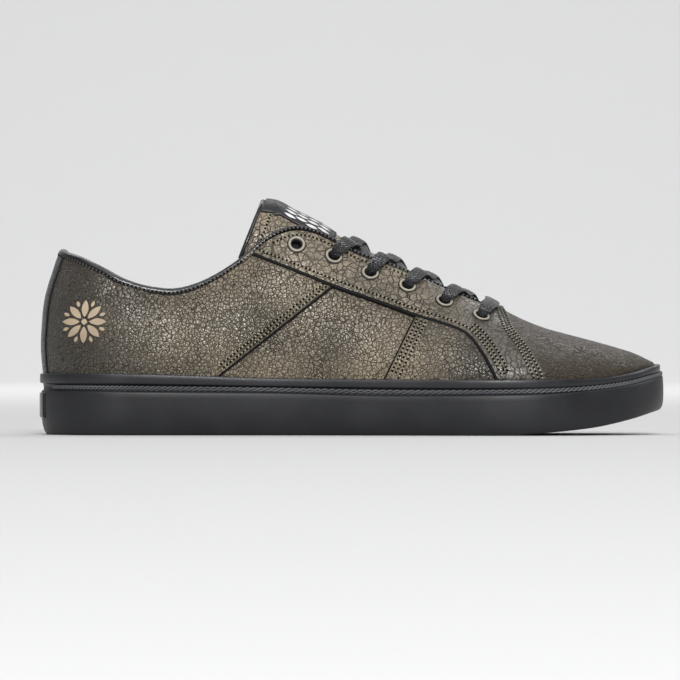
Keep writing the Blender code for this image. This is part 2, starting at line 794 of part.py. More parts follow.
def turned(name, profile, centre, axis, steps):
    """A ring turned round an axis from a closed profile of radius and height."""
    axis = axis / np.linalg.norm(axis)
    across = np.cross(axis, (1.0, 0.0, 0.0))
    across /= np.linalg.norm(across)
    other = np.cross(axis, across)
    points, faces = [], []
    count = len(profile)
    for s in range(steps):
        angle = 2 * math.pi * s / steps
        out = across * math.cos(angle) + other * math.sin(angle)
        points += [centre + out * r + axis * h for r, h in profile]
        for k in range(count):
            a, b = s * count + k, s * count + (k + 1) % count
            shift = count if s < steps - 1 else -s * count
            faces.append([a, b, b + shift, a + shift])
    return body(name, placed(points), faces)


def eyelet_cutter():
    """The holes for all eyelets, as one set of cylinders."""
    made = None
    radius = EYELET_BARREL + GAP
    reach = 3 * WALL
    for _, _, centre, normal in eyelet_places():
        bore = bmesh.new()
        bmesh.ops.create_cone(
            bore, cap_ends=True, segments=EYELET_SIDES_COUNT, radius1=radius, radius2=radius, depth=2 * reach
        )
        turn_to = Vector(normal).to_track_quat("Z", "Y").to_matrix().to_4x4()
        bmesh.ops.transform(bore, matrix=turn_to, verts=bore.verts)
        bmesh.ops.translate(bore, verts=bore.verts, vec=Vector(placed(centre)))
        if made is None:
            made = bpy.data.meshes.new("eyelet_holes")
        else:
            bore.from_mesh(made)
        bore.to_mesh(made)
        bore.free()
    holes = bpy.data.objects.new("eyelet_holes", made)
    bpy.context.collection.objects.link(holes)
    return helper(holes)


def eyelets():
    seat = GAP + OVERLAY + FLANGE_SEAT
    top = seat + FLANGE_THICK
    profile = [
        (EYELET_BORE, -WALL),
        (EYELET_BARREL, -WALL),
        (EYELET_BARREL, seat),
        (EYELET_RADIUS, seat),
        ((EYELET_RADIUS + EYELET_BARREL) / 2, top),
        (EYELET_BORE, top),
    ]
    for side, k, centre, normal in eyelet_places():
        name = "eyelet_%s_%d" % ("outer" if side == OUTER else "inner", k + 1)
        turned(name, profile, centre, normal, EYELET_SIDES_COUNT)
        finish(name, "eyelet metal")


def under_flaps(share, across, clear):
    """Height that leaves this clearance below the flaps at a place across the shoe."""
    angles = np.linspace(0.25, math.pi / 2, 60)
    y, z = [], []
    for side in (OUTER, INNER):
        p = skin(share, angles, side)
        n = skin_normal(share, angles, side)
        inner = p - n * ((BAND_IN if share < THROAT_END_SHARE else WALL) + clear)
        order = slice(None) if side == OUTER else slice(None, None, -1)
        y.append(inner[order, 1])
        z.append(inner[order, 2])
    y, z = np.concatenate(y), np.concatenate(z)
    order = np.argsort(y)
    return np.interp(across, y[order], z[order])


def tongue_grid():
    """The tongue's outer face, row by row from its free end to the end under the vamp."""
    knots = np.array(TONGUE)
    grid = []
    for t in TONGUE_SHARES:
        row = []
        for degrees in TONGUE_ANGLES:
            a = math.radians(degrees)
            start = knots[0, 0] * LENGTH
            drop_top = TONGUE_DROP * (1 - math.cos(a))
            x_start = start - TONGUE_LEAN_RATIO * drop_top
            x = x_start + (knots[-1, 0] * LENGTH - x_start) * t
            share = x / LENGTH
            ridge = TONGUE_HEIGHT * np.interp(share, knots[:, 0], knots[:, 1])
            drop = TONGUE_DROP * np.interp(share, knots[:, 0], knots[:, 2])
            y = TONGUE_HALF * math.sin(a) + BALL_WIDTH * float(along(RIDGE_LINE, 1, share))
            z = ridge - drop * (1 - math.cos(a))
            on_upper = (x - HEEL_INSET) / UPPER_LENGTH
            clear = TONGUE_CLEAR + (2 * GAP + LABEL_THICK if t < 2 * LABEL_SHARE else GAP)
            z = min(z, float(under_flaps(on_upper, y, clear)))
            row.append((x, y, z))
        grid.append(row)
    return np.array(grid)


def grid_normals(grid):
    ahead = np.gradient(grid, axis=0)
    across = np.gradient(grid, axis=1)
    normal = np.cross(ahead, across)
    return normal / np.linalg.norm(normal, axis=-1, keepdims=True)


def grid_faces(rows, columns):
    faces = []
    for i in range(rows - 1):
        for j in range(columns - 1):
            a = i * columns + j
            faces.append([a, a + columns, a + columns + 1, a + 1])
    return faces


def tongue():
    grid = tongue_grid()
    normals = grid_normals(grid)
    rows, columns = grid.shape[:2]
    round_over = np.cos(np.radians(TONGUE_ANGLES))
    thin = (1 - TONGUE_SIDE_THIN + TONGUE_SIDE_THIN * round_over)[None, :, None]
    taper = np.array(TONGUE_TAPER)
    fade = np.interp(TONGUE_SHARES, taper[:, 0], taper[:, 1])[:, None, None]
    inner = grid - normals * TONGUE_THICK * thin * fade
    points = np.concatenate([grid.reshape(-1, 3), inner.reshape(-1, 3)])
    faces = grid_faces(rows, columns)
    count = rows * columns
    faces += [[k + count for k in face[::-1]] for face in grid_faces(rows, columns)]
    ring = list(range(columns))
    ring += [i * columns + columns - 1 for i in range(1, rows)]
    ring += [(rows - 1) * columns + j for j in range(columns - 2, -1, -1)]
    ring += [i * columns for i in range(rows - 2, 0, -1)]
    for a, b in zip(ring, ring[1:] + ring[:1]):
        faces.append([a, b, b + count, a + count])
    body("tongue", placed(points), faces)
    finish("tongue", "tongue leather")
    label_rows = [i for i, t in enumerate(TONGUE_SHARES) if t <= LABEL_SHARE]
    label_columns = [j for j, a in enumerate(TONGUE_ANGLES) if abs(a) <= LABEL_ANGLE]
    part = grid[np.ix_(label_rows, label_columns)]
    part_normals = normals[np.ix_(label_rows, label_columns)]
    shell(
        "tongue_label",
        part.reshape(-1, 3),
        part_normals.reshape(-1, 3),
        grid_faces(len(label_rows), len(label_columns)),
        GAP,
        GAP + LABEL_THICK,
    )
    finish("tongue_label", "black satin")
    edge = grid[0, 1:-1] - normals[0, 1:-1] * PIPING_RADIUS
    back = grid[0, 1:-1] - grid[1, 1:-1]
    back /= np.linalg.norm(back, axis=1, keepdims=True)
    rope("tongue_piping", edge + back * (PIPING_RADIUS + PIPING_CLEAR), back, PIPING_RADIUS)
    finish("tongue_piping", "black binding")


def rope(name, path, aside, radius):
    """A six-sided cord along a path, its ends flat."""
    sides = 6
    ahead = np.gradient(path, axis=0)
    ahead /= np.linalg.norm(ahead, axis=1, keepdims=True)
    first = aside - ahead * (aside * ahead).sum(axis=1, keepdims=True)
    first /= np.linalg.norm(first, axis=1, keepdims=True)
    second = np.cross(ahead, first)
    lines = []
    for k in range(sides):
        angle = 2 * math.pi * (k + 0.5) / sides
        lines.append(path + radius * (first * math.cos(angle) + second * math.sin(angle)))
    return swept(name, lines)


def swept(name, lines):
    """A solid whose section has one corner on each of the lines, its ends flat."""
    points = np.stack(lines, axis=1)
    rows, count = points.shape[:2]
    faces = []
    for i in range(rows - 1):
        base = i * count
        for k in range(count):
            after = (k + 1) % count
            faces.append([base + k, base + after, base + count + after, base + count + k])
    faces += [list(range(count))[::-1], [(rows - 1) * count + k for k in range(count)]]
    return body(name, placed(points.reshape(-1, 3)), faces)


def insole():
    shares = sole_shares(ROW_COUNT - 10)
    inset = WALL + 2 * GAP
    low = floor_height(shares) + GAP
    edge = outline_loop(shares, inset + INSOLE_CHAMFER, narrowed=True)
    side = outline_loop(shares, inset, narrowed=True)
    dish = outline_loop(shares, inset + INSOLE_DISH, narrowed=True)
    top = low + INSOLE_THICK
    loops = [
        with_height(edge, round_values(low)),
        with_height(side, round_values(low + INSOLE_CHAMFER)),
        with_height(side, round_values(top + INSOLE_EDGE)),
        with_height(dish, round_values(top)),
    ]
    stacked("insole", loops)
    finish("insole", "insole cloth")


def heel_label():
    """The small rubber label on the back of the sole, between two distances from its side."""
    shares = sole_shares(ROW_COUNT)
    near = outline_loop(shares, LABEL_SEAT)
    far = outline_loop(shares, LABEL_SEAT - HEEL_LABEL_THICK)
    half = HEEL_LABEL_WIDTH / 2
    count = HEEL_LABEL_POINTS_COUNT
    heel = list(range(1 - count, count))
    points = []
    for ring in (near, far):
        line = ring[heel]
        y = np.linspace(-half, half, count)
        order = np.argsort(line[:, 1])
        x = np.interp(y, line[order, 1], line[order, 0])
        for z in (HEEL_LABEL_LOW, HEEL_LABEL_HIGH):
            points += [(a, b, z) for a, b in zip(x, y)]
    faces = []
    for a, b in ((0, 1), (1, 3), (3, 2), (2, 0)):
        for k in range(count - 1):
            faces.append([a * count + k, a * count + k + 1, b * count + k + 1, b * count + k])
    faces += [[0, count, 3 * count, 2 * count], [count - 1, 2 * count - 1, 4 * count - 1, 3 * count - 1]]
    body("heel_label", placed(points), faces)
    finish("heel_label", "label rubber")


def ribbon(name, path, normals, width, thick):
    """A flat lace along a path, wide across the normals."""
    ahead = np.gradient(path, axis=0)
    ahead /= np.linalg.norm(ahead, axis=1, keepdims=True)
    across = np.cross(ahead, normals)
    across /= np.linalg.norm(across, axis=1, keepdims=True)
    up = np.cross(across, ahead)
    lines = []
    for u, v in LACE_SECTION:
        lines.append(path + across * u * width / 2 + up * v * thick / 2)
    return swept(name, lines)


def tongue_height(x, y):
    """Height of the tongue's outer face over a place."""
    knots = np.array(TONGUE)
    share = x / LENGTH
    ridge = TONGUE_HEIGHT * np.interp(share, knots[:, 0], knots[:, 1])
    drop = TONGUE_DROP * np.interp(share, knots[:, 0], knots[:, 2])
    sine = min(abs(y - BALL_WIDTH * float(along(RIDGE_LINE, 1, share))) / TONGUE_HALF, 0.95)
    z = ridge - drop * (1 - math.sqrt(1 - sine * sine))
    return min(z, float(under_flaps((x - HEEL_INSET) / UPPER_LENGTH, y, TONGUE_CLEAR)))


def flap_edge(share, side, lift):
    """A place over the binding, and the upper's normal there."""
    top = float(edge_angle(share))
    normal = skin_normal(share, top, side)
    return skin(share, top, side) + normal * lift, normal


def lace_route(low, high, side, rise):
    """From under one flap by its eyelet low, over the middle, to the eyelet high on the side."""
    places = {(s, k): (c, n) for s, k, c, n in eyelet_places()}
    eye, eye_normal = places[(side, high)]
    edge, edge_normal = flap_edge(share_of(high + LACE_BACK_STEP), side, LACE_OVER_BAND)
    start = flap_edge(share_of(low), -side, 0.0)[0]
    start[1] += side * LACE_START_IN
    start[0] += (edge[0] - start[0]) * LACE_START_SHARE
    knots, turns = [], []
    for t, lift in LACE_ARCH:
        x, y = start[:2] + (edge[:2] - start[:2]) * t
        knots.append((x, y, tongue_height(x, y) + LACE_LIFT + rise * lift))
        turns.append(LACE_TILT)
    knots += [edge, over_eyelet(eye, eye_normal, edge), eye + eye_normal * LACE_OVER_EYELET]
    turns += [edge_normal, eye_normal, eye_normal]
    return smooth_path(knots, turns, 10)


def over_eyelet(eye, normal, edge):
    """A place over the eyelet's rim, on the way to the flap's edge."""
    shoulder = eye + (edge - eye) / np.linalg.norm(edge - eye) * EYELET_RADIUS
    return shoulder + normal * (LACE_OVER_EYELET - (shoulder - eye) @ normal)


def share_of(number):
    return EYELET_FIRST_SHARE + EYELET_PITCH_SHARE * number


def smooth_path(knots, turns, count):
    """Evenly spread places along a smooth curve through the knots, and the normals there."""
    knots, turns = np.array(knots), np.array(turns)
    marks = np.concatenate([[0.0], np.cumsum(np.linalg.norm(np.diff(knots, axis=0), axis=1))])
    at = np.linspace(0.0, marks[-1], count)
    path = np.stack([through(marks, knots[:, k], at) for k in range(3)], -1)
    return path, np.stack([np.interp(at, marks, turns[:, k]) for k in range(3)], -1)


def laces():
    """Four crossings, each of two straps joined in the middle, and the straight bar at the toe end."""
    for step in range(EYELET_COUNT - 2):
        low, high = EYELET_COUNT - 1 - step, EYELET_COUNT - 2 - step
        name = "lace_crossing_%d" % (step + 1)
        path, normals = lace_route(low, high, OUTER, LACE_CROSS_RISE)
        made = ribbon(name, path, normals, LACE_WIDTH, LACE_THICK)
        path, normals = lace_route(low, high, INNER, 0.0)
        other = helper(ribbon(name + "_under", path, normals, LACE_WIDTH, LACE_THICK))
        boolean(made, other, "UNION")
        finish(name, "waxed cotton")
    places = {(s, k): (c, n) for s, k, c, n in eyelet_places()}
    last = EYELET_COUNT - 1
    knots, turns = [], []
    for side in (OUTER, INNER):
        eye, eye_normal = places[(side, last)]
        edge, edge_normal = flap_edge(share_of(last) + BAR_FORWARD_SHARE, side, LACE_OVER_BAND)
        shoulder = over_eyelet(eye, eye_normal, edge)
        run = [(eye + eye_normal * LACE_OVER_EYELET, eye_normal), (shoulder, eye_normal), (edge, edge_normal)]
        for place, normal in run if side == OUTER else run[::-1]:
            knots.append(place)
            turns.append(normal)
    knots.insert(3, (knots[2] + knots[3]) / 2 + np.array((0.0, 0.0, BAR_RISE)))
    turns.insert(3, LACE_TILT)
    path, normals = smooth_path(knots, turns, 13)
    ribbon("lace_bar", path, normals, LACE_WIDTH, LACE_THICK)
    finish("lace_bar", "waxed cotton")


cup_sole()
upper()
overlays()
collar_binding()
tongue()
insole()
eyelets()
laces()
heel_label()
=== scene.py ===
# %% [markdown]
# A low skate shoe: what this lesson builds
#
# The solids of the shoe already exist in the shared frame. They are right in size but plain. This
# lesson dresses them: crackled leather, sewn seams, a rolled collar, waxed laces and a stitched
# rubber sole. Every surface is worked out from the same few sizes as the solids, so the dress fits.

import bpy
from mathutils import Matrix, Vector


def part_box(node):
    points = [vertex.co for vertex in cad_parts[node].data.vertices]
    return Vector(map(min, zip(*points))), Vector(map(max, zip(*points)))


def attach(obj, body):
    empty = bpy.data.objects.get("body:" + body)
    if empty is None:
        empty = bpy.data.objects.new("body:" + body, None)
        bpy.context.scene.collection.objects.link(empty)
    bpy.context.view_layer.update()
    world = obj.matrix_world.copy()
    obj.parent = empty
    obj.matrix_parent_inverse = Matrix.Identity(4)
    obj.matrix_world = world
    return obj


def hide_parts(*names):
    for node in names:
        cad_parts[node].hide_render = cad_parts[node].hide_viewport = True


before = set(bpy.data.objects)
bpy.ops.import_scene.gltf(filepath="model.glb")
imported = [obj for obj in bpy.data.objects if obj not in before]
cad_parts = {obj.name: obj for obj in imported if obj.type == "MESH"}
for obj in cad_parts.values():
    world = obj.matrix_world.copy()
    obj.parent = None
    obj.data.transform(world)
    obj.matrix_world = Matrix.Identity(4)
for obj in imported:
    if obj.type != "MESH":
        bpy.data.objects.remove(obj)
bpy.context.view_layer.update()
print("nodes in the frame:", len(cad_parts))

# %% Tools of the trade
import math

import bmesh
import bpy
import numpy as np
from mathutils import Matrix, Vector

# %% [markdown]
# Driving sizes
#
# A shoemaker works from the length of the sole, its width at the ball, and a few heights. They are
# read from the frame where a box gives them, and stated in metres where it does not.

# %% Sizes of the shoe
sole_low, sole_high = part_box("cup_sole")
LENGTH = sole_high.x - sole_low.x
BALL_WIDTH = 0.110
HEEL_HEIGHT = 0.0892
INSTEP_HEIGHT = 0.1002
TONGUE_HEIGHT = 0.1130
SIDE_HEIGHT = 0.0294
HEEL_INSET = 0.0030
SIDE_INSET = 0.0032
TOE_INSET = 0.0045
HEEL_LEAN = 0.0086
LEAN_REACH = 0.22
THROAT_END = 0.748
THROAT_ROUND = 0.030
SOLE_FLOOR = 0.0130
BAND_HEIGHT = 0.0032
BAND_END = 0.736
UPPER_LENGTH = LENGTH - HEEL_INSET - TOE_INSET
NARROWING = 1.0 - 2 * SIDE_INSET / BALL_WIDTH
OUTER, INNER = -1, 1
SIDES = ((OUTER, "outer"), (INNER, "inner"))
print("sole length %.1f mm" % (LENGTH * 1000))

# %% [markdown]
# Tables of the form
#
# Each table is a short list of sections. Its first column is the share of the length from heel to
# toe, and the others are shares of a named size. A smooth curve through the rows gives the rest,
# which is how a last is drawn from its sections.

# %% Sole outline and side
OUTLINE = (
    (0.00, 0.000, 0.000), (0.02, 0.185, 0.185), (0.05, 0.280, 0.280), (0.10, 0.345, 0.345),
    (0.15, 0.360, 0.360), (0.22, 0.365, 0.360), (0.30, 0.370, 0.345), (0.40, 0.380, 0.318),
    (0.50, 0.410, 0.328), (0.60, 0.450, 0.385), (0.68, 0.488, 0.450), (0.73, 0.500, 0.487),
    (0.78, 0.495, 0.497), (0.84, 0.455, 0.480), (0.90, 0.370, 0.430), (0.95, 0.255, 0.335),
    (0.98, 0.140, 0.225), (1.00, -0.050, 0.050),
)
SIDE = (
    (0.00, 0.000, 0.721, 0.844, 1.000), (0.22, 0.000, 0.700, 0.825, 0.983),
    (0.37, 0.000, 0.687, 0.800, 0.930), (0.55, 0.000, 0.640, 0.775, 0.908),
    (0.74, 0.000, 0.655, 0.768, 0.905), (0.81, 0.045, 0.672, 0.778, 0.910),
    (0.89, 0.130, 0.742, 0.815, 0.922), (0.94, 0.235, 0.810, 0.880, 0.985),
    (0.98, 0.350, 0.905, 0.975, 1.085), (1.00, 0.425, 0.968, 1.040, 1.150),
)
FLOOR = ((0.0, 1.25), (0.3, 1.2), (0.5, 1.05), (0.75, 0.95), (0.9, 0.85), (1.0, 0.8))
print("sections of the sole:", len(OUTLINE), "sections of its side:", len(SIDE))

# %% Collar, vamp and heel
EDGE = (
    (0.000, 1.000, 0.0, 0.80, 2.30), (0.040, 0.953, 0.0, 0.80, 2.30),
    (0.080, 0.903, 0.0, 0.79, 2.25), (0.130, 0.833, 0.0, 0.78, 2.20),
    (0.180, 0.793, 0.0, 0.77, 2.15), (0.210, 0.785, 0.0, 0.76, 2.10),
    (0.250, 0.815, 0.0, 0.75, 2.10), (0.290, 0.839, 0.4, 0.73, 2.05),
    (0.330, 0.885, 0.8, 0.69, 2.00), (0.370, 0.961, 1.0, 0.62, 1.97),
    (0.395, 0.992, 1.0, 0.57, 1.95), (0.415, 0.998, 1.0, 0.52, 1.95),
    (0.440, 0.981, 1.0, 0.47, 1.93), (0.475, 0.931, 1.0, 0.43, 1.92),
    (0.510, 0.875, 1.0, 0.41, 1.90), (0.560, 0.822, 1.0, 0.40, 1.88),
    (0.610, 0.759, 1.0, 0.385, 1.86), (0.660, 0.693, 1.0, 0.37, 1.85),
    (0.700, 0.644, 1.0, 0.355, 1.85),
)
VAMP = (
    (0.750, 0.602, 1.88), (0.780, 0.557, 1.93), (0.820, 0.511, 2.00), (0.860, 0.479, 2.10),
    (0.900, 0.448, 2.20), (0.940, 0.415, 2.25), (0.965, 0.392, 2.25), (0.985, 0.365, 2.25),
    (1.000, None, 2.25),
)
RIDGE_LINE = ((0.0, 0.0), (0.4, 0.0), (0.6, 0.005), (0.8, 0.02), (0.92, 0.035), (1.0, 0.05))
LEAN = (
    (0.33, 0.00), (0.47, -0.116), (0.60, -0.058), (0.67, 0.000), (0.735, 0.105),
    (0.80, 0.280), (0.865, 0.500), (0.93, 0.720), (1.00, 1.000),
)
print("sections of the collar and throat:", len(EDGE), "of the vamp:", len(VAMP))

# %% Seam lines seen from the side
STAY_EDGE = (
    (0.317, 0.885), (0.345, 0.856), (0.402, 0.790), (0.475, 0.703), (0.544, 0.630),
    (0.605, 0.563), (0.640, 0.531), (0.683, 0.474), (0.704, 0.396), (0.723, 0.297),
    (0.7315, 0.240),
)
STAY_FRONT = ((0.748, 0.565), (0.757, 0.500), (0.781, 0.415), (0.803, 0.300), (0.8085, 0.240))
REAR_SEAM = ((0.468, 0.703), (0.2906, 0.287), (0.270, 0.240))
MIDDLE_SEAM = ((0.600, 0.562), (0.553, 0.276), (0.5475, 0.240))

# %% [markdown]
# The smooth curve through a table
#
# A Hermite curve passes through every row with matching slopes. The share of the length is first
# turned into an angle, because equal steps of that angle crowd towards heel and toe and give both
# ends their round form.

# %% Reading the tables
def turn(share):
    return np.arccos(np.clip(1.0 - 2.0 * np.asarray(share, float), -1.0, 1.0))


def unturn(angle):
    """The share of the length at an angle, the reverse of turn."""
    return (1 - np.cos(angle)) / 2


def unit(rows):
    """The same directions at length one."""
    return rows / np.linalg.norm(rows, axis=-1, keepdims=True)


def ahead_along(path):
    return unit(np.gradient(path, axis=0))


def run_along(path):
    """The length run up to each point of a path."""
    return np.concatenate([[0.0], np.cumsum(np.linalg.norm(np.diff(path, axis=0), axis=1))])


def straight(at, marks, rows):
    """Rows read at new marks, straight between them."""
    rows = np.asarray(rows)
    return np.stack([np.interp(at, marks, rows[:, k]) for k in range(rows.shape[1])], -1)


def rounded(distance, reach):
    """Rises from 0 at an edge to 1 at its reach, as a quarter of a circle does."""
    left = 1 - np.clip(distance / reach, 0.0, 1.0)
    return np.sqrt(np.clip(1 - left**2, 0.0, 1.0))


def through(knots, values, at):
    knots = np.asarray(knots, float)
    values = np.asarray(values, float)
    at = np.clip(at, knots[0], knots[-1])
    slopes = np.gradient(values, knots)
    i = np.clip(np.searchsorted(knots, at) - 1, 0, len(knots) - 2)
    span = knots[i + 1] - knots[i]
    t = (at - knots[i]) / span
    start = (2 * t**3 - 3 * t**2 + 1) * values[i] + (t**3 - 2 * t**2 + t) * span * slopes[i]
    end = (3 * t**2 - 2 * t**3) * values[i + 1] + (t**3 - t**2) * span * slopes[i + 1]
    return start + end


def along(table, column, share):
    rows = np.array(table)
    return through(turn(rows[:, 0]), rows[:, column], turn(share))


def half_width(share, side):
    return BALL_WIDTH * along(OUTLINE, 1 if side == OUTER else 2, share)


def side_height(share, column):
    return SIDE_HEIGHT * along(SIDE, column, share)


def rim_height(share):
    return side_height(share, 4)


def floor_height(share):
    return side_height(share, 1) + SOLE_FLOOR * along(FLOOR, 1, share)


print("rim at heel and toe: %.1f %.1f mm" % (rim_height(0.0) * 1000, rim_height(1.0) * 1000))

# %% [markdown]
# The upper as one function
#
# The upper is a skin over the last. Its section is a rounded arch that rises from the rim of the
# sole. Over the opening the arch is simply cut off at the collar's height. With one function for
# the whole skin, every overlay, seam and stitch can be laid on it at any lift.

# %% The skin of the upper
def ridge_heights():
    rows = []
    for share, height, mix, opening, roundness in EDGE:
        edge = height * (HEEL_HEIGHT * (1 - mix) + INSTEP_HEIGHT * mix)
        rim = rim_height(share)
        rows.append((share, rim + (edge - rim) / (1 - opening**roundness) ** (1 / roundness)))
    for share, height, _ in VAMP[:-1]:
        rows.append((share, height * INSTEP_HEIGHT))
    rows.append((1.0, float(rim_height(1.0))))
    return np.array(rows)


RIDGE = ridge_heights()
ROUNDNESS = np.array([(row[0], row[4]) for row in EDGE] + [(row[0], row[2]) for row in VAMP])


def ridge_middle(share):
    """How far the top of the arch lies from the middle line."""
    return BALL_WIDTH * along(RIDGE_LINE, 1, share) * NARROWING


def opening_share(share):
    share = np.asarray(share, float)
    rows = np.array(EDGE)
    half = through(turn(rows[:, 0]), rows[:, 3], turn(np.minimum(share, rows[-1, 0])))
    return half * rounded(THROAT_END - share, THROAT_ROUND)


def edge_angle(share):
    return np.arccos(opening_share(share) ** (along(ROUNDNESS, 1, share) / 2))


FLOOR_GAP = 0.0003


def skin(share, angle, side):
    """Points of the upper at a share of its length and an angle up its arch, on one side."""
    share, angle, side = np.broadcast_arrays(
        np.asarray(share, float), np.asarray(angle, float), np.asarray(side, float)
    )
    roundness = along(ROUNDNESS, 1, share)
    rim = rim_height(share)
    climb = np.clip(angle, 0.0, math.pi / 2)
    out = np.cos(climb) ** (2 / roundness)
    up = np.sin(climb) ** (2 / roundness)
    ridge = np.maximum(along(RIDGE, 1, share), rim)
    z = rim + (ridge - rim) * up + np.minimum(angle, 0.0) * (rim - floor_height(share) - FLOOR_GAP)
    middle = ridge_middle(share)
    wide = np.where(side < 0, -half_width(share, OUTER), half_width(share, INNER)) * NARROWING
    y = middle + (wide - middle) * out
    rows = np.array(LEAN)
    lean = HEEL_LEAN * through(rows[:, 0], rows[:, 1], z / HEEL_HEIGHT)
    fade = np.clip(1.0 - share / LEAN_REACH, 0.0, 1.0)
    x = HEEL_INSET + UPPER_LENGTH * share + lean * fade * fade * (3 - 2 * fade)
    return np.stack([x, y, z], -1)


NORMAL_STEP = 0.004
NORMAL_ENDS = (0.02, math.pi - 0.12)
NORMAL_RIDGE = 0.03


def skin_normal(share, angle, side):
    """The outward direction, from points a small step ahead, behind, above and below."""
    phi = np.clip(turn(share), *NORMAL_ENDS)
    angle = np.asarray(angle, float)
    angle = np.where(angle > 0, np.clip(angle, NORMAL_RIDGE, math.pi / 2 - NORMAL_RIDGE), angle)
    ahead = skin(unturn(phi + NORMAL_STEP), angle, side) - skin(unturn(phi - NORMAL_STEP), angle, side)
    middle = unturn(phi)
    above = skin(middle, angle + NORMAL_STEP, side) - skin(middle, angle - NORMAL_STEP, side)
    return unit(np.cross(ahead, above) * -np.asarray(side, float)[..., None])


EVEN = np.linspace(0.0, 1.0, 201)
LABEL_PROUD = 0.0005
WIDEST = {side: half_width(EVEN, side).max() for side in (OUTER, INNER)}
MIDDLE = np.array(((LENGTH - LABEL_PROUD) / 2, (WIDEST[INNER] - WIDEST[OUTER]) / 2, 0.0))
print("middle of the shoe's box, from the heel: %.1f mm" % (MIDDLE[0] * 1000))

# %% [markdown]
# From a side view to the skin
#
# Seams are easiest to draw on the side view. A point of the side view has one place on the skin:
# its share of the length, and the angle at which the arch reaches its height.

# %% Laying side view points on the skin
def angle_at(share, height):
    rim = rim_height(share)
    ridge = np.maximum(along(RIDGE, 1, share), rim + 1e-6)
    rise = np.clip((height - rim) / (ridge - rim), 0.0, 1.0)
    return np.arcsin(np.clip(rise ** (along(ROUNDNESS, 1, share) / 2), 0.0, 1.0))


def on_skin(share, angle, side, lift=0.0):
    return skin(share, angle, side) + skin_normal(share, angle, side) * np.reshape(lift, (-1, 1))


def band_fade(share):
    return np.clip((THROAT_END - share) / (THROAT_END - BAND_END), 0.0, 1.0)


def below_edge(share, side, length, step=0.02):
    """The angle that lies a length below the collar's or throat's edge."""
    top = edge_angle(share)
    reach = np.linalg.norm(skin(share, top, side) - skin(share, top - step, side), axis=-1)
    return top - length * step / np.maximum(reach, 0.0003)


def side_line(rows):
    """A seam line as shares of the upper's length and heights in metres."""
    rows = np.array(rows)
    return np.stack([(rows[:, 0] * LENGTH - HEEL_INSET) / UPPER_LENGTH, rows[:, 1] * INSTEP_HEIGHT], -1)


def even_line(line, count, curved=True):
    """Points spread evenly along a line of the side view, curved or straight between its rows."""
    line = np.asarray(line, float)
    marks = run_along(line * (UPPER_LENGTH, 1.0))
    at = np.linspace(0.0, marks[-1], count)
    if not curved:
        return straight(at, marks, line)
    return np.stack([through(marks, line[:, k], at) for k in range(2)], -1)


print("eyestay edge runs", len(side_line(STAY_EDGE)), "knots")

# %% Where the eyelets sit
EYELETS = 6
EYELET_FIRST = 0.4115
EYELET_PITCH = 0.0601
EYELET_DROP_TOP = 0.0095
EYELET_DROP_LOW = 0.0068
HOLE_RADIUS = 0.0033


def eyelet_places():
    places = {}
    for side, _ in SIDES:
        for k in range(EYELETS):
            share = EYELET_FIRST + EYELET_PITCH * k
            t = k / (EYELETS - 1)
            drop = EYELET_DROP_TOP + (EYELET_DROP_LOW - EYELET_DROP_TOP) * t
            angles = np.linspace(0.2, float(edge_angle(share)), 200)
            heights = skin(share, angles, side)[:, 2]
            angle = float(np.interp(heights[-1] - drop, heights, angles))
            places[(side, k)] = (skin(share, angle, side), skin_normal(share, angle, side))
    return places


PLACES = eyelet_places()
print("eyelets on each side:", EYELETS)

# %% [markdown]
# Sheets from a grid
#
# Leather comes as a sheet, so each leather piece starts as a flat grid. A function then says where
# every point of the grid lies on the shoe. The grid keeps its rows parallel to the piece's edges,
# which makes clean cut edges and lets stitches follow them.

# %% A sheet whose points are placed by a function
MERGE = 2e-6


def finish_mesh(bm, name, material, outward=False):
    """Merges, turns the faces outward unless they already are, and makes the object."""
    bmesh.ops.remove_doubles(bm, verts=bm.verts, dist=MERGE)
    bmesh.ops.dissolve_degenerate(bm, dist=1e-7, edges=bm.edges)
    if not outward:
        bmesh.ops.recalc_face_normals(bm, faces=bm.faces)
    for face in bm.faces:
        face.smooth = True
    mesh = bpy.data.meshes.new(name)
    bm.to_mesh(mesh)
    bm.free()
    mesh.materials.append(material)
    made = bpy.data.objects.new(name, mesh)
    bpy.context.scene.collection.objects.link(made)
    return made


def laid_sheet(bm, across, up, place, uv=(1.0, 1.0), inside=None):
    """Adds a grid of across by up cells to bm. place turns arrays of u and v into points. Its
    faces look away from a point inside it, where one is given."""
    before = len(bm.verts)
    bmesh.ops.create_grid(bm, x_segments=across, y_segments=up, size=0.5, calc_uvs=True)
    bm.verts.ensure_lookup_table()
    fresh = bm.verts[before:]
    flat = np.array([v.co[:2] for v in fresh]) + 0.5
    u, v = np.round(flat[:, 0], 6), np.round(flat[:, 1], 6)
    points = place(u, v) - MIDDLE
    layer = bm.loops.layers.uv.verify()
    for vertex, point, a, b in zip(fresh, points, u, v):
        vertex.co = point
        for loop in vertex.link_loops:
            loop[layer].uv = (a * uv[0], b * uv[1])
    if inside is not None:
        face_away(bm, fresh, inside)
    return fresh


def close_tube(bm):
    """Joins the seam of a swept ring and fills its two ends."""
    bmesh.ops.remove_doubles(bm, verts=bm.verts, dist=MERGE)
    bmesh.ops.holes_fill(bm, edges=[e for e in bm.edges if e.is_boundary], sides=40)


def face_away(bm, verts, inside):
    faces = {f for v in verts for f in v.link_faces}
    total = 0.0
    for face in faces:
        face.normal_update()
        total += face.normal.dot(face.calc_center_median() - Vector(inside)) * face.calc_area()
    if total < 0:
        bmesh.ops.reverse_faces(bm, faces=list(faces))


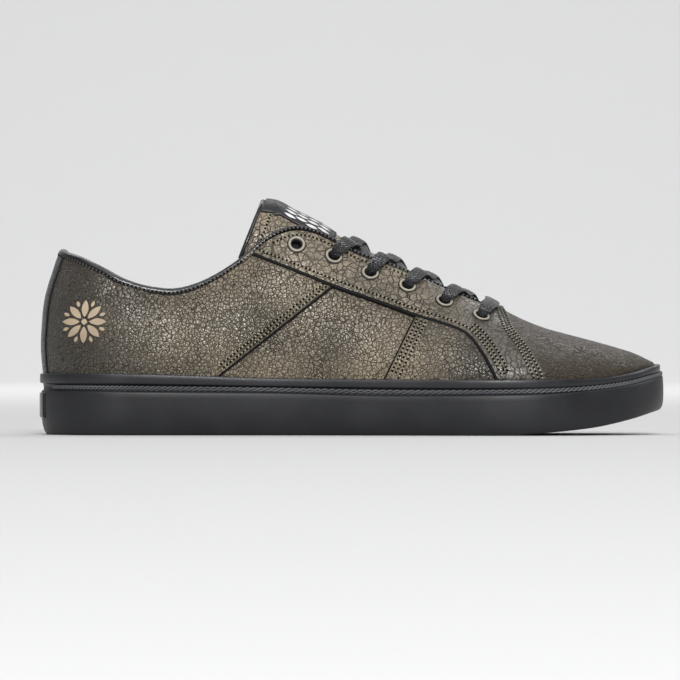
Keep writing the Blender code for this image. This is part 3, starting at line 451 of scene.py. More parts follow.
def open_holes(bm, side, radius, near=0.012):
    """Takes out what lies within a radius of each eyelet's axis on one side."""
    gone = []
    for (where, _), (centre, normal) in PLACES.items():
        if where != side:
            continue
        for face in bm.faces:
            away = np.array(face.calc_center_median()) + MIDDLE - centre
            if abs(away).max() < near and np.linalg.norm(away - normal * (away @ normal)) < radius:
                gone.append(face)
    bmesh.ops.delete(bm, geom=list(set(gone)), context="FACES")


def thicken(made, thickness):
    """Gives a sheet its thickness inwards."""
    wall = made.modifiers.new("leather thickness", "SOLIDIFY")
    wall.thickness = thickness
    wall.offset = -1.0
    return made


def rides(made, nodes=()):
    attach(made, "root")
    if nodes:
        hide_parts(*nodes)
    return made

# %% [markdown]
# Node helpers
#
# Materials are small graphs of nodes. Short helpers keep them readable: one adds a node with its
# settings, one fills an input with a value or a link, and a few do sums.

# %% Helpers for material graphs
def node(tree, kind, **settings):
    made = tree.nodes.new(kind)
    for key, value in settings.items():
        setattr(made, key, value)
    return made


def wire(tree, source, target):
    tree.links.new(source, target)


def fill(tree, socket, value):
    """Sets a socket to a number, a colour or a vector, or wires another socket to it."""
    if isinstance(value, (int, float)):
        socket.default_value = value
    elif isinstance(value, tuple):
        socket.default_value = (*value, 1.0)[: len(socket.default_value)]
    else:
        wire(tree, value, socket)


def maths(tree, operation, *values):
    made = node(tree, "ShaderNodeMath", operation=operation)
    for socket, value in zip(made.inputs, values):
        fill(tree, socket, value)
    return made.outputs[0]


def plus(tree, a, b):
    return maths(tree, "ADD", a, b)


def minus(tree, a, b):
    return maths(tree, "SUBTRACT", a, b)


def times(tree, a, b):
    return maths(tree, "MULTIPLY", a, b)


def vectors(tree, operation, a, b):
    made = node(tree, "ShaderNodeVectorMath", operation=operation)
    fill(tree, made.inputs[0], a)
    fill(tree, made.inputs["Scale" if operation == "SCALE" else 1], b)
    return made.outputs["Value" if operation == "DOT_PRODUCT" else "Vector"]


def stepped(tree, value, low, high):
    """A smooth step from 0 at low to 1 at high."""
    made = node(tree, "ShaderNodeMapRange", interpolation_type="SMOOTHSTEP")
    wire(tree, value, made.inputs["Value"])
    fill(tree, made.inputs["From Min"], low)
    fill(tree, made.inputs["From Max"], high)
    return made.outputs["Result"]


def blended(tree, factor, a, b):
    made = node(tree, "ShaderNodeMix", data_type="RGBA")
    for socket, value in ((made.inputs[0], factor), (made.inputs[6], a), (made.inputs[7], b)):
        fill(tree, socket, value)
    return made.outputs[2]


def new_group(name, inputs, outputs):
    """An empty group of nodes. inputs gives each number that it takes a first value."""
    group = bpy.data.node_groups.new(name, "ShaderNodeTree")
    for title, value in inputs.items():
        group.interface.new_socket(title, in_out="INPUT", socket_type="NodeSocketFloat").default_value = value
    for title in outputs:
        group.interface.new_socket(title, in_out="OUTPUT", socket_type="NodeSocketFloat")
    return group, node(group, "NodeGroupInput").outputs, node(group, "NodeGroupOutput").inputs


def placed_group(tree, group, **values):
    made = node(tree, "ShaderNodeGroup", node_tree=group)
    for title, value in values.items():
        made.inputs[title].default_value = value
    return made.outputs


def new_material(name, roughness):
    material = bpy.data.materials.new(name)
    material.use_nodes = True
    shader = material.node_tree.nodes["Principled BSDF"]
    shader.inputs["Roughness"].default_value = roughness
    return material, material.node_tree, shader.inputs


def noise_of(tree, vector, scale, detail):
    made = node(tree, "ShaderNodeTexNoise")
    fill(tree, made.inputs["Scale"], scale)
    fill(tree, made.inputs["Detail"], detail)
    wire(tree, vector, made.inputs["Vector"])
    return made.outputs


def bump(tree, shader, height, strength, distance):
    made = node(tree, "ShaderNodeBump")
    fill(tree, made.inputs["Strength"], strength)
    fill(tree, made.inputs["Distance"], distance)
    wire(tree, height, made.inputs["Height"])
    wire(tree, made.outputs["Normal"], shader["Normal"])
    wire(tree, made.outputs["Normal"], shader["Coat Normal"])


print("node helpers ready")

# %% [markdown]
# Crackled leather
#
# The hide has a waxy coat that has broken into a fine net of cracks, with larger cells where it is
# stretched. A Voronoi texture's distance to its cell edges draws such a net. Two nets of different
# sizes are bent by noise so that no cell looks ruled, and noise lets the lines fade here and there.

# %% The crackle group
CRACK_WIDTHS = {"Coarse": 0.105, "Fine": 0.13}
MOUND_HEIGHTS = (0.14, 0.08)
# Painted shade: runs in metres from the shoe's middle over which the leather darkens towards heel and toe.
SHADE_HEEL_RUN = (-0.080, -0.130)
SHADE_TOE_RUN = (0.030, 0.068)


def crackle_group():
    """Cracks, their relief, broad tone, rubbed spots and the painted shade that darkens heel and toe."""
    group, given, out = new_group(
        "crackle",
        {"Coarse": 300.0, "Fine": 620.0, "Stretch": 1.0, "Bend": 0.0040, "Patchy": 0.5},
        ("Cracks", "Height", "Tone", "Wear", "EndShade"),
    )
    place = node(group, "ShaderNodeTexCoord").outputs["Object"]
    squeeze = node(group, "ShaderNodeCombineXYZ")
    for socket, value in zip(squeeze.inputs, (given["Stretch"], 1.0, 1.0)):
        fill(group, socket, value)
    centred = vectors(group, "SUBTRACT", noise_of(group, place, 110.0, 3.0)["Color"], (0.5, 0.5, 0.5))
    bent = vectors(group, "SCALE", centred, given["Bend"])
    spot = vectors(group, "ADD", vectors(group, "MULTIPLY", place, squeeze.outputs[0]), bent)
    nets, pillows = [], []
    for title, width in CRACK_WIDTHS.items():
        cells = node(group, "ShaderNodeTexVoronoi", feature="DISTANCE_TO_EDGE")
        wire(group, spot, cells.inputs["Vector"])
        wire(group, given[title], cells.inputs["Scale"])
        nets.append(minus(group, 1.0, stepped(group, cells.outputs["Distance"], 0.0, width)))
        pillows.append(stepped(group, cells.outputs["Distance"], 0.0, 0.42))
    patches = noise_of(group, place, 70.0, 2.0)["Fac"]
    level = times(group, given["Patchy"], stepped(group, patches, 0.58, 0.42))
    coarse = times(group, nets[0], minus(group, 1.0, level))
    fine = times(group, nets[1], plus(group, times(group, level, 0.6), 0.35))
    cracks = maths(group, "MAXIMUM", coarse, fine)
    grain = noise_of(group, spot, 1600.0, 3.0)["Fac"]
    mounds = [times(group, pillow, height) for pillow, height in zip(pillows, MOUND_HEIGHTS)]
    raised = plus(group, plus(group, *mounds), times(group, grain, 0.10))
    broad = noise_of(group, place, 26.0, 4.0)["Fac"]
    rubbed = times(group, stepped(group, grain, 0.46, 0.70), stepped(group, patches, 0.38, 0.62))
    apart = node(group, "ShaderNodeSeparateXYZ")
    wire(group, place, apart.inputs[0])
    run = plus(group, apart.outputs["X"], times(group, minus(group, broad, 0.5), 0.05))
    # Painted shade: a mask that darkens the leather towards heel and toe.
    painted_end_shade = maths(group, "MAXIMUM", stepped(group, run, *SHADE_HEEL_RUN), stepped(group, run, *SHADE_TOE_RUN))
    for socket, value in zip(out, (cracks, minus(group, raised, cracks), broad, rubbed, painted_end_shade)):
        wire(group, value, socket)
    return group


CRACKLE = crackle_group()
print("crackle gives", [socket.name for socket in CRACKLE.interface.items_tree if socket.in_out == "OUTPUT"])

# %% Leather for each piece, its tone partly painted light and shade
# How deep the painted shade at heel and toe goes, as a share of the dark tone.
END_SHADE_DEPTH = 0.42
CRACK_DEPTH = 0.00038


def scaled(colour, factor, more=0.0):
    """A colour made lighter or darker."""
    return tuple(min(1.0, c * factor + more) for c in colour)


def crackled_leather(name, light, dark, coarse, fine, stretch=1.0, patchy=0.5, shine=0.9, fill_in=0.1):
    """fill_in says how far the wax closes the cracks at the ends darkened by painted shade."""
    material, tree, shader = new_material(name, 0.46)
    pattern = placed_group(tree, CRACKLE, Coarse=coarse, Fine=fine, Stretch=stretch, Patchy=patchy)
    base = blended(tree, stepped(tree, pattern["Tone"], 0.34, 0.68), dark, light)
    worn = blended(tree, times(tree, pattern["Wear"], 0.25), base, scaled(light, 2.1, 0.02))
    # Painted shade: the heel and toe ends are darkened towards a deeper tone of the dark colour.
    end_shaded = blended(tree, pattern["EndShade"], worn, scaled(dark, END_SHADE_DEPTH))
    filled = minus(tree, 0.97, times(tree, pattern["EndShade"], fill_in))
    seen = blended(tree, times(tree, pattern["Cracks"], filled), end_shaded, scaled(dark, 0.10))
    wire(tree, seen, shader["Base Color"])
    wire(tree, plus(tree, times(tree, pattern["Cracks"], 0.3), 0.33), shader["Roughness"])
    dull = times(tree, pattern["Cracks"], shine)
    wire(tree, minus(tree, shine, dull), shader["Coat Weight"])
    shader["Coat Roughness"].default_value = 0.34
    shader["Specular IOR Level"].default_value = 0.40
    bump(tree, shader, times(tree, pattern["Height"], filled), 1.0, CRACK_DEPTH)
    return material


# The lighter eyestay and side panel and the darker vamp and heel strip are partly the pieces' own tones and
# partly painted light and shade.
VAMP_LEATHER = crackled_leather(
    "vamp leather", (0.165, 0.124, 0.072), (0.108, 0.078, 0.043), 430.0, 900.0,
    stretch=0.30, patchy=0.6, shine=0.18,
)
SIDE_LEATHER = crackled_leather(
    "side leather", (0.236, 0.190, 0.122), (0.100, 0.078, 0.050), 500.0, 900.0, patchy=0.2
)
STAY_LEATHER = crackled_leather(
    "eyestay leather", (0.270, 0.220, 0.146), (0.108, 0.085, 0.052), 300.0, 660.0,
    patchy=0.2, shine=1.0, fill_in=0.55,
)
QUARTER_LEATHER = crackled_leather(
    "quarter leather", (0.205, 0.164, 0.104), (0.092, 0.072, 0.044), 520.0, 900.0, patchy=0.2
)
HEEL_LEATHER = crackled_leather(
    "heel leather", (0.070, 0.064, 0.052), (0.036, 0.034, 0.029), 430.0, 780.0
)
print("leathers:", VAMP_LEATHER.name, SIDE_LEATHER.name, STAY_LEATHER.name, QUARTER_LEATHER.name)

# %% [markdown]
# Black trims, thread and rubber
#
# The rolled edges are smooth black leather, the label is satin, the lining is knitted cloth, and
# the sole is dark grey rubber with a slight sheen. Each is a Principled shader with a small bump.

# %% Trims and rubber
def grained(name, colour, roughness, scale, strength, distance, coat=0.0, gleam=0.5):
    """A plain material with fine grain and a little variation in colour."""
    material, tree, shader = new_material(name, roughness)
    place = node(tree, "ShaderNodeTexCoord").outputs["Object"]
    broad = noise_of(tree, place, 34.0, 4.0)["Fac"]
    seen = blended(tree, stepped(tree, broad, 0.35, 0.7), colour, scaled(colour, 1.35, 0.003))
    wire(tree, seen, shader["Base Color"])
    wire(tree, plus(tree, times(tree, broad, 0.24), roughness - 0.12), shader["Roughness"])
    shader["Coat Weight"].default_value = coat
    shader["Specular IOR Level"].default_value = gleam
    bump(tree, shader, noise_of(tree, place, scale, 4.0)["Fac"], strength, distance)
    return material


THREAD_SLANT = 1.4


def woven(name, colour, pale, roughness, pitch, strength, coat):
    """A woven band: two sets of slanted threads that cross, in the piece's own UV in metres."""
    material, tree, shader = new_material(name, roughness)
    coordinates = node(tree, "ShaderNodeTexCoord").outputs
    per_metre = 2 * math.pi / pitch
    threads = []
    for slant in (THREAD_SLANT, -THREAD_SLANT):
        across = vectors(tree, "DOT_PRODUCT", coordinates["UV"], (per_metre, slant * per_metre, 0.0))
        threads.append(plus(tree, times(tree, maths(tree, "SINE", across), 0.5), 0.5))
    weave = maths(tree, "MAXIMUM", *threads)
    wax = noise_of(tree, coordinates["Object"], 900.0, 3.0)["Fac"]
    crossing = stepped(tree, times(tree, *threads), 0.25, 0.75)
    rubbed = times(tree, crossing, stepped(tree, wax, 0.42, 0.62))
    wire(tree, blended(tree, rubbed, colour, pale), shader["Base Color"])
    wire(tree, plus(tree, times(tree, wax, 0.4), roughness - 0.2), shader["Roughness"])
    shader["Coat Weight"].default_value = coat
    shader["Specular IOR Level"].default_value = 0.3
    shader["Coat Roughness"].default_value = 0.11
    bump(tree, shader, plus(tree, weave, times(tree, wax, 1.2)), strength, 0.0006)
    return material


BLACK_TRIM = grained(
    "black edge leather", (0.003, 0.003, 0.0042), 0.34, 1500.0, 0.35, 0.0002, coat=0.4, gleam=0.35
)
# Black edge paint that also stands in for the shadow along each overlay's edge: partly painted shadow.
EDGE_PAINT_AND_SHADOW = grained("edge paint and shadow", (0.0025, 0.0025, 0.0030), 0.55, 1500.0, 0.3, 0.0002, gleam=0.12)
# Stitch holes are near-black beads: painted shade in the punched holes.
HOLE_SHADE = grained("stitch hole", (0.003, 0.003, 0.003), 0.7, 3000.0, 0.2, 0.0001, gleam=0.1)
THREAD = grained("tan thread", (0.300, 0.265, 0.190), 0.5, 4000.0, 0.4, 0.0001)
BLACK_THREAD = grained("black thread", (0.110, 0.105, 0.095), 0.32, 4000.0, 0.4, 0.0001)
SATIN = grained("label satin", (0.0055, 0.0055, 0.0068), 0.42, 2600.0, 0.3, 0.0001)
LABEL_PRINT = grained("label print", (0.55, 0.55, 0.54), 0.6, 1500.0, 0.2, 0.0001)
HEEL_PRINT = grained("heel print", (0.34, 0.265, 0.185), 0.6, 1500.0, 0.2, 0.0001)
RUBBER = grained("sole rubber", (0.0100, 0.0104, 0.0118), 0.42, 700.0, 0.25, 0.0002, gleam=0.35)
# The rim's rubber is a touch lighter and bluer than the rest of the sole: painted highlight along the sole's
# top band.
RIM_RUBBER_LIT = grained(
    "rim rubber", (0.0110, 0.0114, 0.0138), 0.36, 700.0, 0.2, 0.0002, coat=0.1, gleam=0.4
)
ROPE_THREAD = grained("sole thread", (0.060, 0.062, 0.070), 0.45, 3500.0, 0.5, 0.0001)
INSOLE_CLOTH = grained("insole cloth", (0.010, 0.010, 0.011), 0.9, 2500.0, 0.5, 0.0003, gleam=0.2)
LINING = grained("lining cloth", (0.016, 0.016, 0.018), 0.88, 2200.0, 0.6, 0.0004, gleam=0.2)
ENAMEL_DARK = grained("pressed ring", (0.006, 0.006, 0.006), 0.35, 1500.0, 0.2, 0.0001)
ENAMEL_PALE = grained("pale ring", (0.300, 0.270, 0.210), 0.35, 1500.0, 0.2, 0.0001)
# The barrel is near black as painted shade inside the eyelet.
BARREL_SHADE = grained("eyelet barrel", (0.006, 0.006, 0.006), 0.35, 1500.0, 0.2, 0.0001)
WAXED_LACE = woven(
    "waxed lace", (0.0016, 0.0018, 0.0026), (0.045, 0.048, 0.058), 0.40, 0.0016, 1.0, coat=0.7
)
print("trims made:", len(bpy.data.materials))

# %% [markdown]
# The base upper
#
# Under the overlays lies one skin of leather: the vamp in front and the sides behind it. It is laid
# as two halves that meet over the toe and at the back of the heel, then given its thickness.

# %% Soft creases, placed one by one
# Each row: side, share of the length, share of the height, length and width in metres, tilt in
# degrees in the side view, depth in metres (negative is a ridge).
CREASES = (
    (OUTER, 0.105, 0.62, 0.030, 0.0060, 70.0, 0.0007),
    (OUTER, 0.135, 0.55, 0.026, 0.0055, 62.0, -0.0004),
    (OUTER, 0.205, 0.66, 0.034, 0.0070, 20.0, 0.0006),
    (OUTER, 0.330, 0.45, 0.030, 0.0080, -35.0, 0.0005),
    (OUTER, 0.560, 0.40, 0.022, 0.0060, 55.0, 0.0004),
    (OUTER, 0.790, 0.62, 0.026, 0.0060, 35.0, 0.0006),
    (OUTER, 0.830, 0.55, 0.024, 0.0060, 30.0, -0.0004),
    (INNER, 0.120, 0.58, 0.030, 0.0060, 65.0, 0.0007),
    (INNER, 0.300, 0.50, 0.032, 0.0080, -30.0, 0.0006),
    (INNER, 0.790, 0.60, 0.026, 0.0060, 35.0, 0.0006),
)
RIDGE_FADE = 0.5


def creases(points, side):
    """How far the leather sinks at each point of the skin."""
    sink = np.zeros(len(points))
    for where, share, height, length, width, tilt, depth in CREASES:
        x = HEEL_INSET + UPPER_LENGTH * share
        z = SIDE_HEIGHT + height * (HEEL_HEIGHT - SIDE_HEIGHT)
        a = math.radians(tilt)
        dx, dz = points[:, 0] - x, points[:, 2] - z
        run = dx * math.cos(a) + dz * math.sin(a)
        aside = -dx * math.sin(a) + dz * math.cos(a)
        sink += depth * np.exp(-((run / length * 2) ** 2) - (aside / width) ** 2) * (side == where)
    return sink


def laid(share, angle, side, lift):
    """Points of the skin at a lift, with the creases pressed in."""
    points = skin(share, angle, side)
    depth = np.where(np.asarray(side) < 0, creases(points, OUTER), creases(points, INNER))
    depth = depth * np.clip((math.pi / 2 - angle) / RIDGE_FADE, 0.0, 1.0) ** 2
    normal = skin_normal(share, angle, side)
    return points + normal * np.reshape(lift - depth, (-1, 1))


def closed_on_ridge(points, share, u, v):
    """Brings the two halves together over the toe and at both ends."""
    meet = ((share >= THROAT_END) & (v > 0.9999)) | (u < 1e-5) | (u > 1 - 1e-5)
    points[meet, 1] = ridge_middle(share)[meet]
    return points


UNDERLAP = 0.1
VAMP_FROM = 0.70
INSIDE = (0.0, 0.0, 0.03)


def base_upper():
    bm = bmesh.new()
    for side, _ in SIDES:

        def place(u, v, side=side):
            share = unturn(math.pi * u)
            top = below_edge(share, side, (BAND_HEIGHT * 0.7) * band_fade(share))
            climb = np.where(
                v < UNDERLAP, -0.35 * (UNDERLAP - v) / UNDERLAP, (v - UNDERLAP) / (1 - UNDERLAP) * top
            )
            return closed_on_ridge(laid(share, climb, np.full(len(u), side), 0.0), share, u, v)

        laid_sheet(bm, 230, 50, place, inside=INSIDE)
    for side, _ in SIDES:
        open_holes(bm, side, HOLE_RADIUS)
    made = finish_mesh(bm, "upper_leather", VAMP_LEATHER, outward=True)
    made.data.materials.append(SIDE_LEATHER)
    vamp_from = HEEL_INSET + UPPER_LENGTH * VAMP_FROM - MIDDLE[0]
    for polygon in made.data.polygons:
        polygon.material_index = 0 if polygon.center.x > vamp_from else 1
    return thicken(made, 0.0015)


upper_leather = rides(base_upper(), ["upper"])
print("base upper faces:", len(upper_leather.data.polygons))

# %% [markdown]
# Overlays
#
# The eyestay, the rear quarter, the side panel and the heel strip are separate cuts of leather
# sewn on top. Each is a strip between two edge lines. Near its edges the strip dips towards the
# base, so the cut edge looks turned and pressed, and a faint trough runs under its edge rows of
# stitches. The sheet of the eyestay has its eyelet holes taken out.

# %% Strips between two lines of the skin
OVERLAY_LIFT = 0.0013
EDGE_ROLL = 0.0009
EDGE_TUCK = 0.0001
STITCH_DIP, STITCH_DIP_WIDE = 0.00022, 0.0006
OVERLAY_THICK = 0.0007


def edge_profile(distance, lift):
    """Lift of an overlay at a distance from its cut edge, rounded like pressed leather."""
    left = 1 - np.clip(distance / EDGE_ROLL, 0.0, 1.0)
    return lift * rounded(distance, EDGE_ROLL) - EDGE_TUCK * left


def strip(
    name, material, low_line, high_line, side, cells, rolled, rows=(), lift=OVERLAY_LIFT, end_line=None
):
    """An overlay between two lines given as arrays of share and angle. rolled names the turned
    edges: low, high, start, end. rows holds distances of stitch rows from the low, high and end
    lines. end_line bends the last columns on to a line of its own."""
    bm = bmesh.new()
    marks = np.arange(len(low_line))
    run = run_along(skin(unturn(low_line[:, 0]), low_line[:, 1], side))

    def place(u, v):
        at = u * marks[-1]
        low, high = straight(at, marks, low_line), straight(at, marks, high_line)
        mixed = low + (high - low) * v[:, None]
        if end_line is not None:
            want = straight(v, np.linspace(0, 1, len(end_line)), end_line)
            last = low_line[-1] + (high_line[-1] - low_line[-1]) * v[:, None]
            mixed = mixed + (want - last) * np.clip((u - 0.2) / 0.8, 0.0, 1.0)[:, None] ** 1.5
        foot, head = (skin(unturn(line[:, 0]), line[:, 1], side) for line in (low, high))
        span = np.linalg.norm(head - foot, axis=-1)
        here = np.interp(at, marks, run)
        from_edge = {"low": span * v, "high": span * (1 - v), "start": here, "end": run[-1] - here}
        away = np.full(len(u), 1.0)
        for edge in rolled:
            away = np.minimum(away, from_edge[edge])
        raised = edge_profile(away, lift)
        for edge, distance in rows:
            raised = raised - STITCH_DIP * np.exp(-(((from_edge[edge] - distance) / STITCH_DIP_WIDE) ** 2))
        return laid(unturn(mixed[:, 0]), mixed[:, 1], np.full(len(u), side), raised)

    def graded(u, v):
        return place(1 - (1 - u) ** 1.5 if "end" in rolled else u, graded_share(v, rolled))

    laid_sheet(bm, cells[0], cells[1], graded, inside=INSIDE)
    if "eyestay" in name:
        open_holes(bm, side, HOLE_RADIUS)
    return thicken(finish_mesh(bm, name, material, outward=True), OVERLAY_THICK)


def graded_share(v, rolled):
    """Crowds the rows of a strip towards its rolled edges, where its form changes quickly."""
    if "low" in rolled and "high" in rolled:
        return v + (v * v * (3 - 2 * v) - v) * 0.9
    if "low" in rolled:
        return v**1.8
    return v


def on_lines(line):
    """Turns rows of share and height into rows of spacing angle and skin angle."""
    line = np.asarray(line, float)
    return np.stack([turn(line[:, 0]), angle_at(line[:, 0], line[:, 1])], -1)

# %% The eyestay, with its strap down to the sole
COUNT = 160
BAND_UNDER = 0.0030
UNDER_RIM = -0.06
STAY_FROM = 0.325
STAY_BEND_ROW = 7


def stay_lines(side):
    """Low and high edges of the eyestay: the high edge follows the throat, then the strap's front."""
    low = even_line(side_line(STAY_EDGE), COUNT)
    front = side_line(STAY_FRONT)
    shares = np.linspace(STAY_FROM, float(front[0, 0]) - 0.006, 60)
    top = np.stack([shares, skin(shares, below_edge(shares, side, BAND_UNDER), side)[:, 2]], -1)
    high_knots = np.concatenate([top, front])
    marks = run_along(high_knots * (UPPER_LENGTH, 1.0))
    corner = marks[len(top)]
    low_marks = run_along(low * (UPPER_LENGTH, 1.0))
    bend = np.argmin(np.abs(low[:, 0] - side_line(STAY_EDGE)[STAY_BEND_ROW, 0]))
    strap = (low_marks - low_marks[bend]) / (low_marks[-1] - low_marks[bend])
    at = np.where(
        np.arange(COUNT) <= bend,
        low_marks / low_marks[bend] * corner,
        corner + strap * (marks[-1] - corner),
    )
    low, high = on_lines(low), on_lines(straight(at, marks, high_knots))
    for line in (low, high):
        bound = line[:, 0] < turn(BAND_END)
        roof = below_edge(unturn(line[bound, 0]), side, BAND_UNDER)
        line[bound, 1] = np.minimum(line[bound, 1], roof)
    return low, high


for side, word in SIDES:
    low, high = stay_lines(side)
    made = strip(
        "eyestay_leather_" + word, STAY_LEATHER, low, high, side, (300, 46), ("low", "high"),
        rows=(("low", 0.0019), ("high", 0.0022)),
    )
    rides(made, ["eyestay_" + word])
print("eyestays laid")

# %% The rear quarter, the side panel and the heel strip

SIDE_LIFT = OVERLAY_LIFT * 0.8
HEEL_START = 0.0075


def quarter_lines(side):
    """Low, high and end lines of the rear quarter: the rim, the collar and the slanting seam."""
    seam = even_line(side_line(REAR_SEAM), 160, curved=False)
    stay = even_line(side_line(STAY_EDGE), 200)
    phis = np.linspace(turn(HEEL_START), turn(seam[-1, 0]), COUNT)
    low = np.stack([phis, np.full(COUNT, UNDER_RIM)], -1)
    top_share = unturn(np.linspace(turn(HEEL_START), turn(seam[0, 0]), COUNT))
    collar = below_edge(top_share, side, BAND_UNDER)
    stay_angle = angle_at(top_share, np.interp(top_share, stay[:, 0], stay[:, 1]))
    angle = np.where(top_share < stay[0, 0], collar, np.minimum(collar, stay_angle))
    return low, np.stack([turn(top_share), angle], -1), on_lines(seam[::-1])


for side, word in SIDES:
    low, high, end = quarter_lines(side)
    made = strip(
        "quarter_leather_" + word, QUARTER_LEATHER, low, high, side, (260, 70), ("end",),
        rows=(("end", 0.0018), ("end", 0.0038)), lift=SIDE_LIFT, end_line=end,
    )
    rides(made, ["rear_quarter_" + word])
    seam = even_line(side_line(MIDDLE_SEAM), COUNT, curved=False)
    stay = even_line(side_line(STAY_EDGE), 400)
    right = even_line(stay[stay[:, 0] >= seam[0, 0]], COUNT)
    made = strip(
        "side_panel_leather_" + word, SIDE_LEATHER, on_lines(seam), on_lines(right), side,
        (90, 50), ("low",), lift=SIDE_LIFT,
    )
    rides(made, ["side_panel_" + word])

# %% The strip up the heel
STRIP_REACH = 0.178
STRIP_SPREAD = 0.12
STRIP_WIDTH = 0.0125



def heel_strip():
    bm = bmesh.new()

    def place(u, v):
        share = unturn(np.abs(u - 0.5) * 2 * STRIP_REACH * (1.0 + STRIP_SPREAD * v))
        side = np.where(u < 0.5, OUTER, INNER)
        top = below_edge(share, side, BAND_UNDER)
        away = (0.5 - np.abs(u - 0.5)) * 2 * STRIP_WIDTH
        lift = edge_profile(away, OVERLAY_LIFT * 1.25)
        points = laid(share, UNDER_RIM + (top - UNDER_RIM) * v, side, lift)
        points[np.abs(u - 0.5) < 1e-6, 1] = 0.0
        return points

    laid_sheet(bm, 60, 60, place, inside=(0.0, 0.0, 0.05))
    return thicken(finish_mesh(bm, "heel_strip_leather", HEEL_LEATHER, outward=True), OVERLAY_THICK)


rides(heel_strip(), ["heel_stay"])
print("overlays laid")

# %% [markdown]
# The rolled collar
#
# A folded strip of black leather binds the raw edge of collar and throat. Its section is a small
# flattened ring. It is swept along the edge by laying a grid whose one direction runs round the ring.

# %% Collar binding
BAND_PAST = 0.006
BAND_TALL, BAND_SLIM = 0.66, 0.22
BAND_THICK, BAND_THIN = 0.0025, 0.0004


def slimming(share):
    """From 0 at the collar to 1 along the throat, where the binding is slimmer."""
    return np.clip((share - 0.33) / 0.08, 0.0, 1.0)


def binding():
    bm = bmesh.new()

    def place(u, v):
        run = (u - 0.5) * 2
        share = unturn(np.abs(run) * turn(BAND_END + BAND_PAST))
        side = np.where(run > 1e-6, INNER, OUTER)
        fade = np.clip(band_fade(share) * 2.0, 0.35, 1.0)
        edge = skin(share, edge_angle(share), side)
        normal = skin_normal(share, edge_angle(share), side)
        up = unit(edge - skin(share, below_edge(share, side, 0.003), side))
        a = 2 * math.pi * v
        tall = BAND_HEIGHT * (BAND_TALL - BAND_SLIM * slimming(share))
        thick = BAND_THICK - BAND_THIN * slimming(share)
        centre = edge - up * (tall * fade)[:, None] - normal * 0.0006
        return centre + up * (np.sin(a) * tall * fade)[:, None] + normal * (np.cos(a) * thick * fade)[:, None]

    laid_sheet(bm, 420, 18, place, uv=(0.62, 0.012))
    close_tube(bm)
    return finish_mesh(bm, "collar_roll", BLACK_TRIM)


rides(binding(), ["collar_binding"])
print("collar bound")

# %% [markdown]
# The padded lining
#
# Inside, black cloth covers foam that is thickest below the collar. The lining is another sheet of
# the same skin at a negative lift: the lift grows to the foam's thickness and shrinks again.

# %% Lining
PAD_DEPTH = 0.0046


LINING_GAP = 0.0021
LINING_FOOT = -0.75


def lining():
    bm = bmesh.new()
    for side, _ in SIDES:

        def place(u, v, side=side):
            share = unturn(math.pi * u)
            top = below_edge(share, side, 0.0016 * band_fade(share))
            full = np.clip((0.37 - share) / 0.10, 0.0, 1.0)
            swell = np.sin(math.pi * np.clip((v - 0.42) / 0.58, 0.0, 1.0)) ** 0.8
            depth = LINING_GAP + PAD_DEPTH * full * swell
            angle = LINING_FOOT + (top - LINING_FOOT) * v
            return closed_on_ridge(on_skin(share, angle, np.full(len(u), side), -depth), share, u, v)

        laid_sheet(bm, 150, 36, place, uv=(0.3, 0.08), inside=INSIDE)
    made = finish_mesh(bm, "lining", LINING, outward=True)
    made.data.flip_normals()
    return made


rides(lining())
print("lining in")

# %% [markdown]
# The tongue
#
# The tongue is a padded flap that arches over the instep and slips under the eyestays. It is laid
# as a grid between its free end and its sewn end, with a second, lower grid for its inside.

# %% Tongue form
TONGUE = (
    (0.361, 0.999, 1.00), (0.382, 0.988, 1.00), (0.400, 0.963, 1.00), (0.421, 0.933, 0.99),
    (0.442, 0.907, 0.97), (0.473, 0.855, 0.92), (0.510, 0.803, 0.84), (0.550, 0.752, 0.76),
    (0.600, 0.690, 0.68), (0.650, 0.626, 0.60), (0.700, 0.563, 0.55), (0.740, 0.510, 0.50),
    (0.800, 0.430, 0.42),
)
TONGUE_DROP = 0.026
TONGUE_HALF = 0.0215
TONGUE_LEAN = 0.378
TONGUE_THICK = 0.0060
TONGUE_ARC = 100.0
TONGUE_CLEAR = 0.0036
FLAP_START, FLAP_FADE, FLAP_FREE = 0.375, 0.03, 0.02


def flap_table():
    """Heights just below the flaps, on an even grid of shares and places across."""
    shares = np.linspace(0.34, 0.83, 60)
    across = np.linspace(-0.034, 0.034, 120)
    angles = np.linspace(0.25, math.pi / 2, 60)
    heights = []
    for share in shares:
        both = np.concatenate(
            [skin(share, angles, side) - skin_normal(share, angles, side) * TONGUE_CLEAR for side, _ in SIDES]
        )
        both = both[np.argsort(both[:, 1])]
        heights.append(np.interp(across, both[:, 1], both[:, 2]))
    return shares, across, np.array(heights)


FLAP_SHARES, FLAP_ACROSS, FLAP_HEIGHTS = flap_table()


def under_flaps(share, across):
    """Height just below the flaps at places across the shoe."""
    row = np.interp(share, FLAP_SHARES, np.arange(len(FLAP_SHARES)))
    column = np.interp(across, FLAP_ACROSS, np.arange(len(FLAP_ACROSS)))
    i = np.clip(row.astype(int), 0, len(FLAP_SHARES) - 2)
    j = np.clip(column.astype(int), 0, len(FLAP_ACROSS) - 2)
    a, b = row - i, column - j
    near = FLAP_HEIGHTS[i, j] * (1 - b) + FLAP_HEIGHTS[i, j + 1] * b
    far = FLAP_HEIGHTS[i + 1, j] * (1 - b) + FLAP_HEIGHTS[i + 1, j + 1] * b
    return near * (1 - a) + far * a


